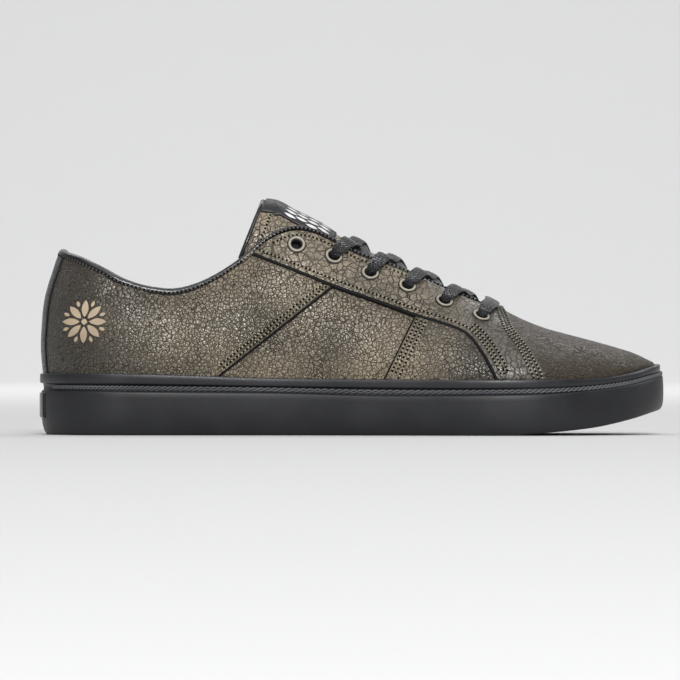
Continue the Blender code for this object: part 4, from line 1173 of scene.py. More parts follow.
def tongue_face(u, v):
    """Points of the tongue's outer face: u from its free end, v from its outer to its inner edge."""
    knots = np.array(TONGUE)
    a = np.radians((v - 0.5) * 2 * TONGUE_ARC)
    start = knots[0, 0] * LENGTH - TONGUE_LEAN * TONGUE_DROP * (1 - np.cos(a))
    x = start + (knots[-1, 0] * LENGTH - start) * u
    share = np.clip(x / LENGTH, knots[0, 0], 1.0)
    ridge = TONGUE_HEIGHT * through(knots[:, 0], knots[:, 1], share)
    drop = TONGUE_DROP * through(knots[:, 0], knots[:, 2], share)
    y = TONGUE_HALF * np.sin(a) + BALL_WIDTH * along(RIDGE_LINE, 1, x / LENGTH)
    z = ridge - drop * (1 - np.cos(a))
    near = (x - HEEL_INSET) / UPPER_LENGTH
    free = np.clip((FLAP_START - near) / FLAP_FADE, 0.0, 1.0) * FLAP_FREE
    return np.stack([x, y, np.minimum(z, under_flaps(near, y) + free)], -1)


def tongue_normal(u, v, step=0.01):
    ahead = tongue_face(np.clip(u + step, 0, 1), v) - tongue_face(np.clip(u - step, 0, 1), v)
    across = tongue_face(u, np.clip(v + step, 0, 1)) - tongue_face(u, np.clip(v - step, 0, 1))
    return unit(np.cross(ahead, across))


def tongue():
    bm = bmesh.new()

    def under(u, v):
        thin = 0.55 + 0.45 * np.cos(np.radians((v - 0.5) * 2 * TONGUE_ARC))
        fade = np.interp(u, (0.0, 0.5, 1.0), (1.0, 0.75, 0.4))
        depth = TONGUE_THICK * thin * fade * (0.35 + 0.65 * rounded(u, 0.03))
        return tongue_face(u, v) - tongue_normal(u, v) * depth[:, None]

    laid_sheet(bm, 90, 40, tongue_face)
    padded = laid_sheet(bm, 90, 40, under)
    for face in {f for v in padded for f in v.link_faces}:
        face.material_index = 1
    bmesh.ops.bridge_loops(bm, edges=[e for e in bm.edges if e.is_boundary])
    made = finish_mesh(bm, "tongue_leather", STAY_LEATHER)
    made.data.materials.append(LINING)
    return made


rides(tongue(), ["tongue"])
print("tongue in")

# %% Tongue label and piping
LABEL_END = 0.26
LABEL_SIDE = 41.0 / TONGUE_ARC / 2


LABEL_START = 0.001
LABEL_LENGTH, LABEL_WIDTH = 0.030, 0.034
LABEL_LIFT, LABEL_ROLL = 0.0009, 0.0008


def tongue_label():
    bm = bmesh.new()

    def place(u, v):
        a = LABEL_START + u * LABEL_END
        b = 0.5 + (v - 0.5) * 2 * LABEL_SIDE
        away = np.minimum(np.minimum(u, 1 - u) * LABEL_LENGTH, np.minimum(v, 1 - v) * LABEL_WIDTH)
        return tongue_face(a, b) + tongue_normal(a, b) * (LABEL_LIFT * rounded(away, LABEL_ROLL))[:, None]

    laid_sheet(bm, 60, 60, place, inside=(-0.04, 0.0, 0.05))
    return thicken(finish_mesh(bm, "label_satin_patch", SATIN, outward=True), 0.0006)


rides(tongue_label(), ["tongue_label"])


def tube(bm, path, radius, sides, aside=(0.0, 0.0, 1.0)):
    """Sweeps a ring along a path of points by laying a grid round it."""
    ahead = ahead_along(path)
    aside = np.broadcast_to(aside, path.shape)
    first = unit(aside - ahead * (aside * ahead).sum(axis=1, keepdims=True))
    second = np.cross(ahead, first)
    last = len(path) - 1

    def place(u, v):
        k = np.clip(np.round(u * last).astype(int), 0, last)
        a = 2 * math.pi * v
        out = first[k] * np.cos(a)[:, None] + second[k] * np.sin(a)[:, None]
        return path[k] + out * radius

    laid_sheet(bm, last, sides, place)


PIPING = 0.00115


def tongue_piping():
    bm = bmesh.new()
    v = np.linspace(0.02, 0.98, 90)
    u = np.zeros(90)
    edge = tongue_face(u, v) - tongue_normal(u, v) * 0.0011
    back = unit(tongue_face(u, v) - tongue_face(u + 0.02, v))
    tube(bm, edge + back * 0.0009, PIPING, 12)
    close_tube(bm)
    return finish_mesh(bm, "tongue_edge_roll", BLACK_TRIM)


rides(tongue_piping(), ["tongue_piping"])
print("label and piping on")

# %% [markdown]
# The cup sole
#
# The sole is one moulding. Its side is a profile swept round the outline: flat bottom edge, soft
# bulge, a step, a sunk channel for the stitches, and the rim. A grid again does the sweep, with one
# direction round the shoe and the other up the profile.

# %% Sole side and floor
OUTLINE_STEP = 0.01
LIP_TOE = 0.0016
WELL_DEPTH = 0.00105
FOOT, WELL, RIM = 0, 1, 2

# Each row: part of the side, share of its height, inset at the heel and at the toe in metres.
PROFILE = [
    (FOOT, 0.0, 0.0040, 0.0023), (FOOT, 0.008, 0.0033, 0.0016), (FOOT, 0.03, 0.0029, 0.0012),
    (FOOT, 0.07, 0.0024, 0.0008), (FOOT, 0.12, 0.0019, 0.0005), (FOOT, 0.25, 0.0012, 0.0001),
    (FOOT, 0.45, 0.0007, 0.0), (FOOT, 0.65, 0.0006, 0.0), (FOOT, 0.85, 0.0006, 0.0002),
    (FOOT, 0.955, 0.00065, 0.0003), (FOOT, 0.985, 0.0008, 0.0005), (FOOT, 1.0, 0.0011, 0.0008),
]
# The channel: share of its height, insets, share of its depth.
for height, heel, toe, deep in (
    (0.06, 0.0007, 0.0004, 0.7), (0.16, 0.0007, 0.0004, 1.0), (0.5, 0.0007, 0.0004, 1.1),
    (0.86, 0.0007, 0.0004, 1.0), (0.96, 0.0006, LIP_TOE, 0.6),
):
    PROFILE.append((WELL, height, heel + WELL_DEPTH * deep, toe + WELL_DEPTH * deep))
# The rim: share of its height, inset.
for height, inset in (
    (0.0, 0.0004), (0.05, 0.0001), (0.12, 0.0), (0.5, 0.0), (0.84, 0.0), (0.93, 0.00015),
    (0.985, 0.0005), (1.0, 0.0010),
):
    PROFILE.append((RIM, height, inset, LIP_TOE + inset))


def toe_blend(shares, heel, toe):
    t = np.clip((shares - 0.6) / 0.4, 0.0, 1.0)
    return heel + (toe - heel) * t * t * (3 - 2 * t)


def round_sole(u):
    """Share, side and outline point, and the outward direction, for u round the sole."""
    angle = 2 * math.pi * u

    def point(a):
        s = unturn(a)
        y = np.where(np.mod(a, 2 * math.pi) <= math.pi, -half_width(s, OUTER), half_width(s, INNER))
        return np.stack([LENGTH * s, y], -1)

    ahead = unit(point(angle + OUTLINE_STEP) - point(angle - OUTLINE_STEP))
    outward = np.stack([ahead[:, 1], -ahead[:, 0]], -1)
    return unturn(angle), np.where(u <= 0.5, OUTER, INNER), point(angle), outward


def on_plan(flat, z):
    """Points from places seen from above and their heights."""
    return np.concatenate([flat, z[:, None]], axis=1)


def sole_side():
    bm = bmesh.new()
    part, height, heel, toe = (np.array(column) for column in zip(*PROFILE))
    count = len(PROFILE)

    def place(u, v):
        share, side, point, outward = round_sole(u)
        row = np.round(v * (count + 1)).astype(int)
        at = np.minimum(row, count - 1)
        levels = np.stack([side_height(share, column) for column in (1, 2, 3, 4)])
        low, high = (np.take_along_axis(levels, (part[at] + k)[None], 0)[0] for k in (0, 1))
        flat = point - outward * toe_blend(share, heel[at], toe[at])[:, None]
        z = low + (high - low) * height[at]
        inner = row >= count
        flat[inner] = (skin(share, 0.0, side)[:, :2] + outward * 0.0001)[inner]
        z[inner] = (rim_height(share) - np.where(row > count, 0.003, 0.0))[inner]
        return on_plan(flat, z)

    laid_sheet(bm, 360, count + 1, place, uv=(0.72, 0.05))
    bmesh.ops.remove_doubles(bm, verts=bm.verts, dist=MERGE)
    bmesh.ops.recalc_face_normals(bm, faces=bm.faces)
    made = finish_mesh(bm, "sole_side", RUBBER, outward=True)
    # The rim band takes the lighter rubber, a painted highlight.
    made.data.materials.append(RIM_RUBBER_LIT)
    for polygon in made.data.polygons:
        share = np.clip((polygon.center.x + MIDDLE[0]) / LENGTH, 0.0, 1.0)
        if polygon.center.z > side_height(share, 3) - 0.0001:
            polygon.material_index = 1
    return made


rides(sole_side(), ["cup_sole"])
print("sole side swept")

# %% [markdown]
# The tread
#
# Underneath, chevrons under heel and ball give grip. A flat slab with the sole's outline is cut by
# bent grooves and by one shallow field under the arch. Cutting with a Boolean gives crisp walls that
# a displaced grid would not.

# %% Tread under the sole
TREAD_DEPTH = 0.0016
TREAD_GROOVE = 0.0022
TREAD_PITCH = 0.0135
TREAD_MARGIN = 0.0070
TREAD_POINT = 0.0061
TREAD_FIELDS = ((0.07, 0.33), (0.56, 0.735))
ARCH_FIELD = (0.37, 0.53)
ARCH_RELIEF = 0.0010
SLAB_THICK = 0.004


def raise_copy(bm, height):
    """Makes a flat sheet a slab, by an extrusion straight up."""
    made = bmesh.ops.extrude_face_region(bm, geom=bm.faces[:])
    top = [g for g in made["geom"] if isinstance(g, bmesh.types.BMVert)]
    bmesh.ops.translate(bm, verts=top, vec=(0.0, 0.0, height))


def tread_grooves():
    """Chevrons under heel and ball, and one shallow field under the arch."""
    bm = bmesh.new()
    spots = []
    for start, end in TREAD_FIELDS:
        count = int((end - start) * LENGTH / TREAD_PITCH) + 1
        spots += [start * LENGTH + k * TREAD_PITCH for k in range(count)]

    def across(share, v):
        outer = -(half_width(share, OUTER) - TREAD_MARGIN)
        return outer + (half_width(share, INNER) - TREAD_MARGIN - outer) * v

    for x in spots:

        def chevron(u, v, x=x):
            bend = TREAD_POINT * (1 - np.abs(v - 0.5) * 2)
            low = np.full(len(u), -TREAD_DEPTH)
            return np.stack([x + bend + u * TREAD_GROOVE, across(x / LENGTH, v), low], -1)

        laid_sheet(bm, 1, 2, chevron)
    first, last = ARCH_FIELD

    def field(u, v):
        share = first + (last - first) * u
        low = np.full(len(u), ARCH_RELIEF - 2 * TREAD_DEPTH)
        return np.stack([share * LENGTH, across(share, v), low], -1)

    laid_sheet(bm, 16, 2, field)
    raise_copy(bm, 2 * TREAD_DEPTH)
    return finish_mesh(bm, "tread_cutter", RUBBER)


def sole_bottom():
    bm = bmesh.new()

    def place(u, v):
        share = unturn(math.pi * u)
        inset = toe_blend(share, *PROFILE[0][2:])
        edges = []
        for at in (u / 2, 1 - u / 2):
            _, _, point, outward = round_sole(at)
            edges.append(point - outward * inset[:, None])
        return on_plan(edges[0] + (edges[1] - edges[0]) * v[:, None], side_height(share, 1))

    laid_sheet(bm, 120, 24, place)
    bmesh.ops.remove_doubles(bm, verts=bm.verts, dist=MERGE)
    raise_copy(bm, SLAB_THICK)
    made = finish_mesh(bm, "sole_tread", RUBBER)
    cutter = tread_grooves()
    cut = made.modifiers.new("grooves", "BOOLEAN")
    cut.operation = "DIFFERENCE"
    cut.object = cutter
    bpy.context.view_layer.objects.active = made
    bpy.ops.object.modifier_apply(modifier=cut.name)
    bpy.data.objects.remove(cutter)
    for polygon in made.data.polygons:
        polygon.use_smooth = False
    print("tread faces:", len(made.data.polygons))
    return made


rides(sole_bottom())

# %% The rope stitch in the sole's channel
ROPE_TURNS = 125
ROPE_OUT, ROPE_UP, ROPE_STRAND = 0.00030, 0.00062, 0.00048


def rope_stitch():
    bm = bmesh.new()
    count = ROPE_TURNS * 14
    share, _, point, outward = round_sole(np.linspace(0.045, 0.955, count))
    inset = toe_blend(share, 0.0007, 0.0004) + 0.0008
    centre = on_plan(point - outward * inset[:, None], (side_height(share, 2) + side_height(share, 3)) / 2)
    out = on_plan(outward, np.zeros(count))
    up = np.tile((0.0, 0.0, 1.0), (count, 1))
    for strand in (0.0, math.pi):
        a = np.linspace(0.0, 2 * math.pi * ROPE_TURNS, count) + strand
        path = centre + out * (np.cos(a) * ROPE_OUT)[:, None] + up * (np.sin(a) * ROPE_UP)[:, None]
        tube(bm, path, ROPE_STRAND, 8, aside=out)
    close_tube(bm)
    return finish_mesh(bm, "channel_rope", ROPE_THREAD)


rides(rope_stitch())
print("rope stitch wound")

# %% [markdown]
# Insole and heel label
#
# The insole is a dished foam pad covered in cloth. The small rubber plate on the heel has a soft
# edge. Both are sheets with a thickness.

# %% Insole and heel plate
INSOLE_EDGE = 0.0030
INSOLE_LENGTH = 0.982
INSOLE_TOP = 0.0050
SIDE_DISH, HEEL_DISH = 0.0028, 0.0022


def insole():
    bm = bmesh.new()

    def place(u, v):
        share = unturn(math.pi * u)
        a, b = (skin(share, 0.0, side)[:, :2] for side in (OUTER, INNER))
        across = 2 * v - 1
        shrink = 1 - INSOLE_EDGE / np.maximum(np.linalg.norm(b - a, axis=1) / 2, INSOLE_EDGE + 0.0002)
        flat = (a + b) / 2 + (b - a) / 2 * (across * shrink)[:, None]
        flat[:, 0] = MIDDLE[0] + (flat[:, 0] - MIDDLE[0]) * INSOLE_LENGTH
        dish = SIDE_DISH * np.clip((np.abs(across) - 0.72) / 0.28, 0, 1) ** 2
        dish += HEEL_DISH * np.clip((0.06 - share) / 0.06, 0, 1)
        return on_plan(flat, floor_height(share) + INSOLE_TOP + dish)

    laid_sheet(bm, 140, 40, place, inside=(0.0, 0.0, -1.0))
    return thicken(finish_mesh(bm, "insole_pad", INSOLE_CLOTH, outward=True), 0.0040)


rides(insole(), ["insole"])


PLATE_LOW, PLATE_HIGH, PLATE_WIDTH = 0.0080, 0.0205, 0.024
PLATE_REACH = 0.0278
PLATE_PROUD, PLATE_SUNK, PLATE_ROLL = 0.0010, 0.0008, 0.0009


def heel_plate():
    bm = bmesh.new()

    def place(u, v):
        _, _, point, outward = round_sole(np.mod((u - 0.5) * 2 * PLATE_REACH + 1.0, 1.0))
        tall = PLATE_HIGH - PLATE_LOW
        away = np.minimum(np.minimum(u, 1 - u) * PLATE_WIDTH, np.minimum(v, 1 - v) * tall)
        lift = PLATE_PROUD * rounded(away, PLATE_ROLL) - PLATE_SUNK
        return on_plan(point + outward * lift[:, None], PLATE_LOW + tall * v)

    laid_sheet(bm, 40, 24, place, inside=(0.0, 0.0, 0.015))
    return thicken(finish_mesh(bm, "heel_plate", BLACK_TRIM, outward=True), 0.0006)


rides(heel_plate(), ["heel_label"])
print("insole and heel plate in")

# %% [markdown]
# Eyelets
#
# Each eyelet is a turned ring of enamelled metal: a pressed outer bead, a paler worn ring and a barrel
# whose near black is painted shade. Its half section is drawn once and spun round its axis, then set on
# the leather.

# %% Eyelets
def spun_ring(bm, profile, centre, axis, steps, material):
    """Spins a closed half section of radius and height round an axis."""
    before = set(bm.faces)
    corners = [bm.verts.new((r, 0.0, h)) for r, h in profile]
    edges = [bm.edges.new((corners[k], corners[(k + 1) % len(corners)])) for k in range(len(corners))]
    bmesh.ops.spin(
        bm, geom=corners + edges, cent=(0, 0, 0), axis=(0, 0, 1), angle=2 * math.pi,
        steps=steps, use_merge=True, use_duplicate=False,
    )
    fresh = [f for f in bm.faces if f not in before]
    verts = list({v for f in fresh for v in f.verts})
    turn_to = Vector(axis).to_track_quat("Z", "Y").to_matrix().to_4x4()
    bmesh.ops.transform(bm, matrix=Matrix.Translation(Vector(centre - MIDDLE)) @ turn_to, verts=verts)
    for face in fresh:
        face.material_index = material


BEAD_RADIUS = 0.00425
EYELET_SIDES = 40


def eyelets():
    bm = bmesh.new()
    seat = OVERLAY_LIFT
    bend = [math.pi * k / 8 for k in range(9)]
    bead = [(BEAD_RADIUS + 0.00038 * math.cos(a), seat + 0.00042 * math.sin(a)) for a in bend]
    bead += [(0.0038, seat - 0.0006), (0.0046, seat - 0.0006)]
    pale = []
    for t in np.linspace(0, 1, 7):
        pale.append((0.0040 - 0.0011 * t, seat + 0.00045 + 0.00035 * math.sin(math.pi * (0.15 + 0.85 * t))))
    pale += [(0.0028, seat - 0.0005), (0.0041, seat - 0.0005)]
    barrel = [
        (0.0029, seat + 0.0005), (0.0025, seat + 0.0002), (0.0019, seat - 0.0008),
        (0.0018, -0.0024), (0.0022, -0.0024), (0.0026, seat - 0.0008),
    ]
    for centre, normal in PLACES.values():
        spun_ring(bm, bead, centre, normal, EYELET_SIDES, 0)
        spun_ring(bm, pale, centre, normal, EYELET_SIDES, 1)
        spun_ring(bm, barrel, centre, normal, 32, 2)
    made = finish_mesh(bm, "eyelet_rings", ENAMEL_DARK)
    made.data.materials.append(ENAMEL_PALE)
    made.data.materials.append(BARREL_SHADE)
    return made


NODES = ["eyelet_%s_%d" % (word, k + 1) for word in ("outer", "inner") for k in range(EYELETS)]
rides(eyelets(), NODES)
print("eyelets set:", len(NODES))

# %% [markdown]
# Laces
#
# A flat waxed lace comes up from under one flap, crosses the tongue, passes over the other flap's
# rolled edge and dives into the next eyelet. Its route is a few points given in the shoe's sizes,
# smoothed, and a flattened ring is swept along it.

# %% Lace routes
LACE_WIDTH = 0.0070
LACE_THICK = 0.0015
OVER_EDGE = 0.0030
OFF_TONGUE = 0.0013
LACE_UP = (0.5, 0.0, 1.0)
# Each row of the hump over the tongue: share of the way across, share of the rise.
HUMP = ((-0.10, -0.3), (0.0, 0.0), (0.22, 0.4), (0.45, 1.0), (0.68, 0.8))


def share_of(number):
    return EYELET_FIRST + EYELET_PITCH * number


def flap_edge(share, side, lift):
    top = float(edge_angle(share))
    normal = skin_normal(share, top, side)
    return skin(share, top, side) + normal * lift, normal


def tongue_height(x, y):
    knots = np.array(TONGUE)
    share = x / LENGTH
    ridge = TONGUE_HEIGHT * np.interp(share, knots[:, 0], knots[:, 1])
    drop = TONGUE_DROP * np.interp(share, knots[:, 0], knots[:, 2])
    middle = BALL_WIDTH * float(along(RIDGE_LINE, 1, share))
    sine = min(abs(y - middle) / TONGUE_HALF, 0.95)
    z = ridge - drop * (1 - math.sqrt(1 - sine * sine))
    limit = under_flaps(np.array([(x - HEEL_INSET) / UPPER_LENGTH]), np.array([y]))[0]
    return min(z, limit)


def smooth_route(rows, count):
    """A route read smoothly from rows of point, normal and width."""
    knots, turns = (np.array([row[k] for row in rows]) for k in (0, 1))
    marks = run_along(knots)
    at = np.linspace(0.0, marks[-1], count)
    path = np.stack([through(marks, knots[:, k], at) for k in range(3)], -1)
    return path, straight(at, marks, turns), np.interp(at, marks, [row[2] for row in rows])


def into_eyelet(eye, normal, toward):
    """The last points of a route: over the ring's inner lip and down the barrel."""
    aim = toward - normal * (toward @ normal)
    aim /= np.linalg.norm(aim)
    return [
        (eye + aim * 0.0046 + normal * 0.0031, normal, LACE_WIDTH * 0.94),
        (eye + aim * 0.0018 + normal * 0.0029, normal + aim * 0.1, LACE_WIDTH * 0.80),
        (eye + aim * 0.0002 + normal * 0.0018, normal * 0.4 - aim, LACE_WIDTH * 0.60),
        (eye - aim * 0.0004 + normal * 0.0002, normal * 0.1 - aim, LACE_WIDTH * 0.46),
        (eye - aim * 0.0003 - normal * 0.0018, normal * 0.1 - aim, LACE_WIDTH * 0.44),
    ]


def crossing_route(low, high, side, rise):
    """From under the other flap at one eyelet, over the tongue, into the next eyelet."""
    eye, eye_normal = PLACES[(side, high)]
    edge, edge_normal = flap_edge(share_of(high + 0.34), side, OVER_EDGE)
    start = flap_edge(share_of(low), -side, 0.0)[0]
    start[1] += side * (LACE_WIDTH * 0.30)
    start[0] += (edge[0] - start[0]) * 0.08
    rows = []
    for t, lift in HUMP:
        x, y = start[:2] + (edge[:2] - start[:2]) * t
        rows.append(((x, y, tongue_height(x, y) + OFF_TONGUE + rise * lift), LACE_UP, LACE_WIDTH))
    rows.append((edge, edge_normal, LACE_WIDTH))
    return smooth_route(rows + into_eyelet(eye, eye_normal, edge - eye), 90)


def lace_ribbon(bm, path, normals, widths):
    """A flat woven ribbon with soft selvedges, swept along a route. Returns its length."""
    ahead = ahead_along(path)
    across = unit(np.cross(ahead, normals))
    up = np.cross(across, ahead)
    length = float(run_along(path)[-1])
    last = len(path) - 1

    def place(u, v):
        k = np.clip(np.round(u * last).astype(int), 0, last)
        c, s = np.cos(2 * math.pi * v), np.sin(2 * math.pi * v)
        flat = np.sign(c) * np.abs(c) ** 0.75
        full = np.sign(s) * np.abs(s) ** 0.65
        rib = 1.0 + 0.10 * np.cos(4 * flat * math.pi)
        tall = full * LACE_THICK / 2 * rib * (LACE_WIDTH / widths[k]) ** 0.3
        return path[k] + across[k] * (flat * widths[k] / 2)[:, None] + up[k] * tall[:, None]

    laid_sheet(bm, last, 28, place, uv=(length, 0.016))
    return length


def lacing():
    """Four crossings and the straight bar over the lowest pair of eyelets."""
    seen = 0.0
    for step in range(EYELETS - 2):
        bm = bmesh.new()
        for side, rise in ((OUTER, 0.0019), (INNER, 0.0003)):
            route = crossing_route(EYELETS - 1 - step, EYELETS - 2 - step, side, rise)
            seen += lace_ribbon(bm, *route)
        close_tube(bm)
        made = finish_mesh(bm, "lace_cross_%d" % (step + 1), WAXED_LACE)
        rides(made, ["lace_crossing_%d" % (step + 1)])
    last = EYELETS - 1
    rows = []
    for side, _ in SIDES:
        eye, eye_normal = PLACES[(side, last)]
        edge, edge_normal = flap_edge(share_of(last) + 0.016, side, OVER_EDGE)
        run = into_eyelet(eye, eye_normal, edge - eye)[::-1] + [(edge, edge_normal, LACE_WIDTH)]
        rows += run if side == OUTER else run[::-1]
    middle = len(rows) // 2
    between = (rows[middle - 1][0] + rows[middle][0]) / 2 + np.array((0.0, 0.0, 0.0012))
    rows.insert(middle, (between, LACE_UP, LACE_WIDTH))
    bm = bmesh.new()
    seen += lace_ribbon(bm, *smooth_route(rows, 160))
    close_tube(bm)
    rides(finish_mesh(bm, "lace_straight", WAXED_LACE), ["lace_bar"])
    return seen


print("lace in view, metres:", round(lacing(), 3))

# %% [markdown]
# Stitches
#
# Along every seam a punched hole and a short tan thread follow each other; the hole is a near-black
# bead of painted shade. Each is a small stretched bead of few faces, sunk in the leather. One bead is
# repeated along the seam lines, and the holes and the threads of one side are a mesh each.

# %% Stitch rows
STITCH_PITCH = 0.0020
HOLE_LENGTH, HOLE_WIDE = 0.00132, 0.00066
THREAD_LENGTH, THREAD_WIDE = 0.00115, 0.00038


def stitch_beads(bm, points, normals, length, wide):
    """One bead at each point, lying along the row and sunk in the leather. The first bead is
    doubled until there are enough, each copy a step aside, and then all take their places."""
    step = 4.0
    row = bmesh.new()
    bmesh.ops.create_icosphere(row, subdivisions=1, radius=1.0)
    count = 1
    while count < len(points):
        made = bmesh.ops.duplicate(row, geom=row.verts[:] + row.edges[:] + row.faces[:])
        copied = [g for g in made["geom"] if isinstance(g, bmesh.types.BMVert)]
        bmesh.ops.translate(row, verts=copied, vec=(step * count, 0.0, 0.0))
        count *= 2
    spare = [v for v in row.verts if v.co.x > step * (len(points) - 0.5)]
    bmesh.ops.delete(row, geom=spare, context="VERTS")
    ahead = ahead_along(points)
    aside = unit(np.cross(normals, ahead))
    above = np.cross(ahead, aside)
    local = np.array([v.co[:] for v in row.verts])
    index = np.round(local[:, 0] / step).astype(int)
    local[:, 0] -= index * step
    local *= (length / 2, wide, wide * 0.8)
    placed = points[index] - MIDDLE
    for k, axis in enumerate((ahead, aside, above)):
        placed = placed + axis[index] * local[:, k : k + 1]
    for vertex, point in zip(row.verts, placed):
        vertex.co = point
    holder = bpy.data.meshes.new("stitch row")
    row.to_mesh(holder)
    row.free()
    bm.from_mesh(holder)
    bpy.data.meshes.remove(holder)


def evenly(points, shift):
    """Places one stitch apart along a fine line, starting a shift in."""
    run = run_along(points)
    count = max(2, int(run[-1] / STITCH_PITCH) - 1)
    at = (np.arange(count) + shift) * STITCH_PITCH
    return straight(at, run, points), at / run[-1]


def sewn(holes, threads, path, normals):
    """Holes and stretches of thread that follow each other along a path."""
    marks = np.linspace(0, 1, len(path))
    for bm, shift, length, wide in (
        (holes, 0.25, HOLE_LENGTH, HOLE_WIDE),
        (threads, 0.75, THREAD_LENGTH, THREAD_WIDE),
    ):
        spread, where = evenly(path, shift)
        stitch_beads(bm, spread, straight(where, marks, normals), length, wide)


def stretch_of(rows, keep):
    """The rows of a line between two shares of it."""
    return rows[int(keep[0] * (len(rows) - 1)) : int(keep[1] * (len(rows) - 1)) + 1]


def seam_row(holes, threads, line, side, inward, lift, keep=(0.0, 1.0), clear=0.0):
    """A row parallel to a line of the skin, moved sideways by a length in the surface. clear keeps
    a row off the bound edge."""
    shares = unturn(line[:, 0])
    points = skin(shares, line[:, 1], side)
    normals = skin_normal(shares, line[:, 1], side)
    moved = points + np.cross(normals, ahead_along(points)) * inward + normals * lift
    moved, normals = stretch_of(moved, keep), stretch_of(normals, keep)
    if clear:
        near = (moved[:, 0] - HEEL_INSET) / UPPER_LENGTH
        roof = skin(near, below_edge(near, side, clear), side)[:, 2]
        kept = (moved[:, 2] < roof) | (near > BAND_END)
        moved, normals = moved[kept], normals[kept]
    sewn(holes, threads, moved, normals)


# Each row: its seam line, its distance from it in metres, and the shares of the line between which
# it runs.
SEAM_ROWS = (
    ("low", 0.0030, 0.03, 1.0), ("low", 0.0047, 0.80, 1.0), ("low", 0.0068, 0.80, 1.0),
    ("high", 0.0030, 0.10, 0.70), ("high", 0.0018, 0.80, 1.0), ("high", 0.0039, 0.80, 1.0),
    ("high", 0.0060, 0.80, 1.0), ("rear", 0.0018, 0.03, 0.92), ("rear", 0.0038, 0.03, 0.92),
    ("middle", 0.0016, 0.03, 0.92), ("middle", 0.0037, 0.03, 0.92), ("middle", 0.0058, 0.03, 0.92),
)
STAY_SEWN, SIDE_SEWN = OVERLAY_LIFT * 0.92, OVERLAY_LIFT * 0.74
SEWN_CLEAR = 0.0008


def slanting_seams(count):
    return [on_lines(even_line(side_line(seam), count, curved=False)) for seam in (REAR_SEAM, MIDDLE_SEAM)]


def side_seams(side, word):
    holes, threads = bmesh.new(), bmesh.new()
    low, high = stay_lines(side)
    rear, middle = slanting_seams(80)
    lines = {
        "low": (low, -side, STAY_SEWN), "high": (high, side, STAY_SEWN),
        "rear": (rear, side, SIDE_SEWN), "middle": (middle, -side, SIDE_SEWN),
    }
    for name, distance, first, last in SEAM_ROWS:
        line, way, lift = lines[name]
        seam_row(
            holes, threads, line, side, way * distance, lift, keep=(first, last), clear=BAND_UNDER + SEWN_CLEAR
        )
    return (
        finish_mesh(holes, "stitch_holes_" + word, HOLE_SHADE),
        finish_mesh(threads, "stitch_threads_" + word, THREAD),
    )


for side, word in SIDES:
    for made in side_seams(side, word):
        rides(made)
print("seams sewn")

# %% The bead row on the rolled collar
def collar_stitches():
    holes, threads = bmesh.new(), bmesh.new()
    for side, _ in SIDES:
        shares = unturn(np.linspace(0.0, turn(BAND_END - 0.02), 500))
        drop = BAND_HEIGHT * (0.95 - 0.3 * slimming(shares))
        line = np.stack([turn(shares), below_edge(shares, side, drop)], -1)
        seam_row(holes, threads, line, side, 0.0, 0.0015)
    return finish_mesh(holes, "collar_holes", HOLE_SHADE), finish_mesh(threads, "collar_beads", BLACK_THREAD)


for made in collar_stitches():
    rides(made)


def tongue_stitches():
    holes, threads = bmesh.new(), bmesh.new()
    for sign in (-1, 1):
        v = 0.5 + sign * np.linspace(LABEL_SIDE * 1.05, 0.46, 60)
        u = np.full(60, 0.040)
        normals = tongue_normal(u, v)
        sewn(holes, threads, tongue_face(u, v) + normals * 0.0001, normals)
    return finish_mesh(holes, "tongue_holes", HOLE_SHADE), finish_mesh(threads, "tongue_threads", THREAD)


for made in tongue_stitches():
    rides(made)
print("collar and tongue sewn")

# %% [markdown]
# Painted edges and painted shadow
#
# Where one leather ends on another, its cut edge is painted black. The black also stands for the shadow
# that the overlay's edge casts on the leather below, so it is partly painted shadow. A thin cord along
# the seam line gives that edge a little thickness of its own, so it catches the light like paint.

# %% Painted edges of the overlays, partly painted shadow
def edge_paint_and_shadow(side, word):
    bm = bmesh.new()

    def paint(shares, angles, lift, radius):
        where = np.full(len(shares), side)
        path = on_skin(shares, angles, where, lift)
        tube(bm, path, radius, 10, aside=skin_normal(shares, angles, where))

    rear, middle = slanting_seams(120)
    for line, radius, keep in (
        (stay_lines(side)[0], 0.00112, (0.01, 1.0)),
        (rear, 0.00060, (0.0, 0.95)),
        (middle, 0.0005, (0.0, 0.95)),
    ):
        kept = stretch_of(line, keep)
        paint(unturn(kept[:, 0]), kept[:, 1], 0.0004, radius)
    rise = np.linspace(0.0, 1.0, 60)
    shares = unturn(STRIP_REACH * (1.0 + STRIP_SPREAD * rise))
    angles = UNDER_RIM + (below_edge(shares, side, BAND_UNDER) - UNDER_RIM) * rise
    paint(shares, angles, SIDE_LIFT, 0.00040)
    close_tube(bm)
    return finish_mesh(bm, "edge_paint_and_shadow_" + word, EDGE_PAINT_AND_SHADOW)


for side, word in SIDES:
    rides(edge_paint_and_shadow(side, word))
print("edges painted")

# %% [markdown]
# Prints
#
# The heel carries a small pale print, and the label rows of marks. Both are plain ornaments: a
# rosette of petals and rows of small leaves. They are thin sheets laid just over what they print on.

# %% A rosette on the heel and leaves on the label
PRINT_X, PRINT_Z, PRINT_LIFT = 0.0232, 0.0540, 0.00008
PETALS = 8
LEAF_ROWS = ((0.30, 9), (0.45, 8), (0.60, 9), (0.75, 8))


def printed_place(dx, dz):
    """A spot of the outer heel in the side view, on the quarter's leather."""
    x, z = PRINT_X + dx, PRINT_Z + dz
    share = (x - HEEL_INSET) / UPPER_LENGTH
    lift = np.full(len(share), SIDE_LIFT + PRINT_LIFT)
    return on_skin(share, angle_at(share, z), np.full(len(share), OUTER), lift)


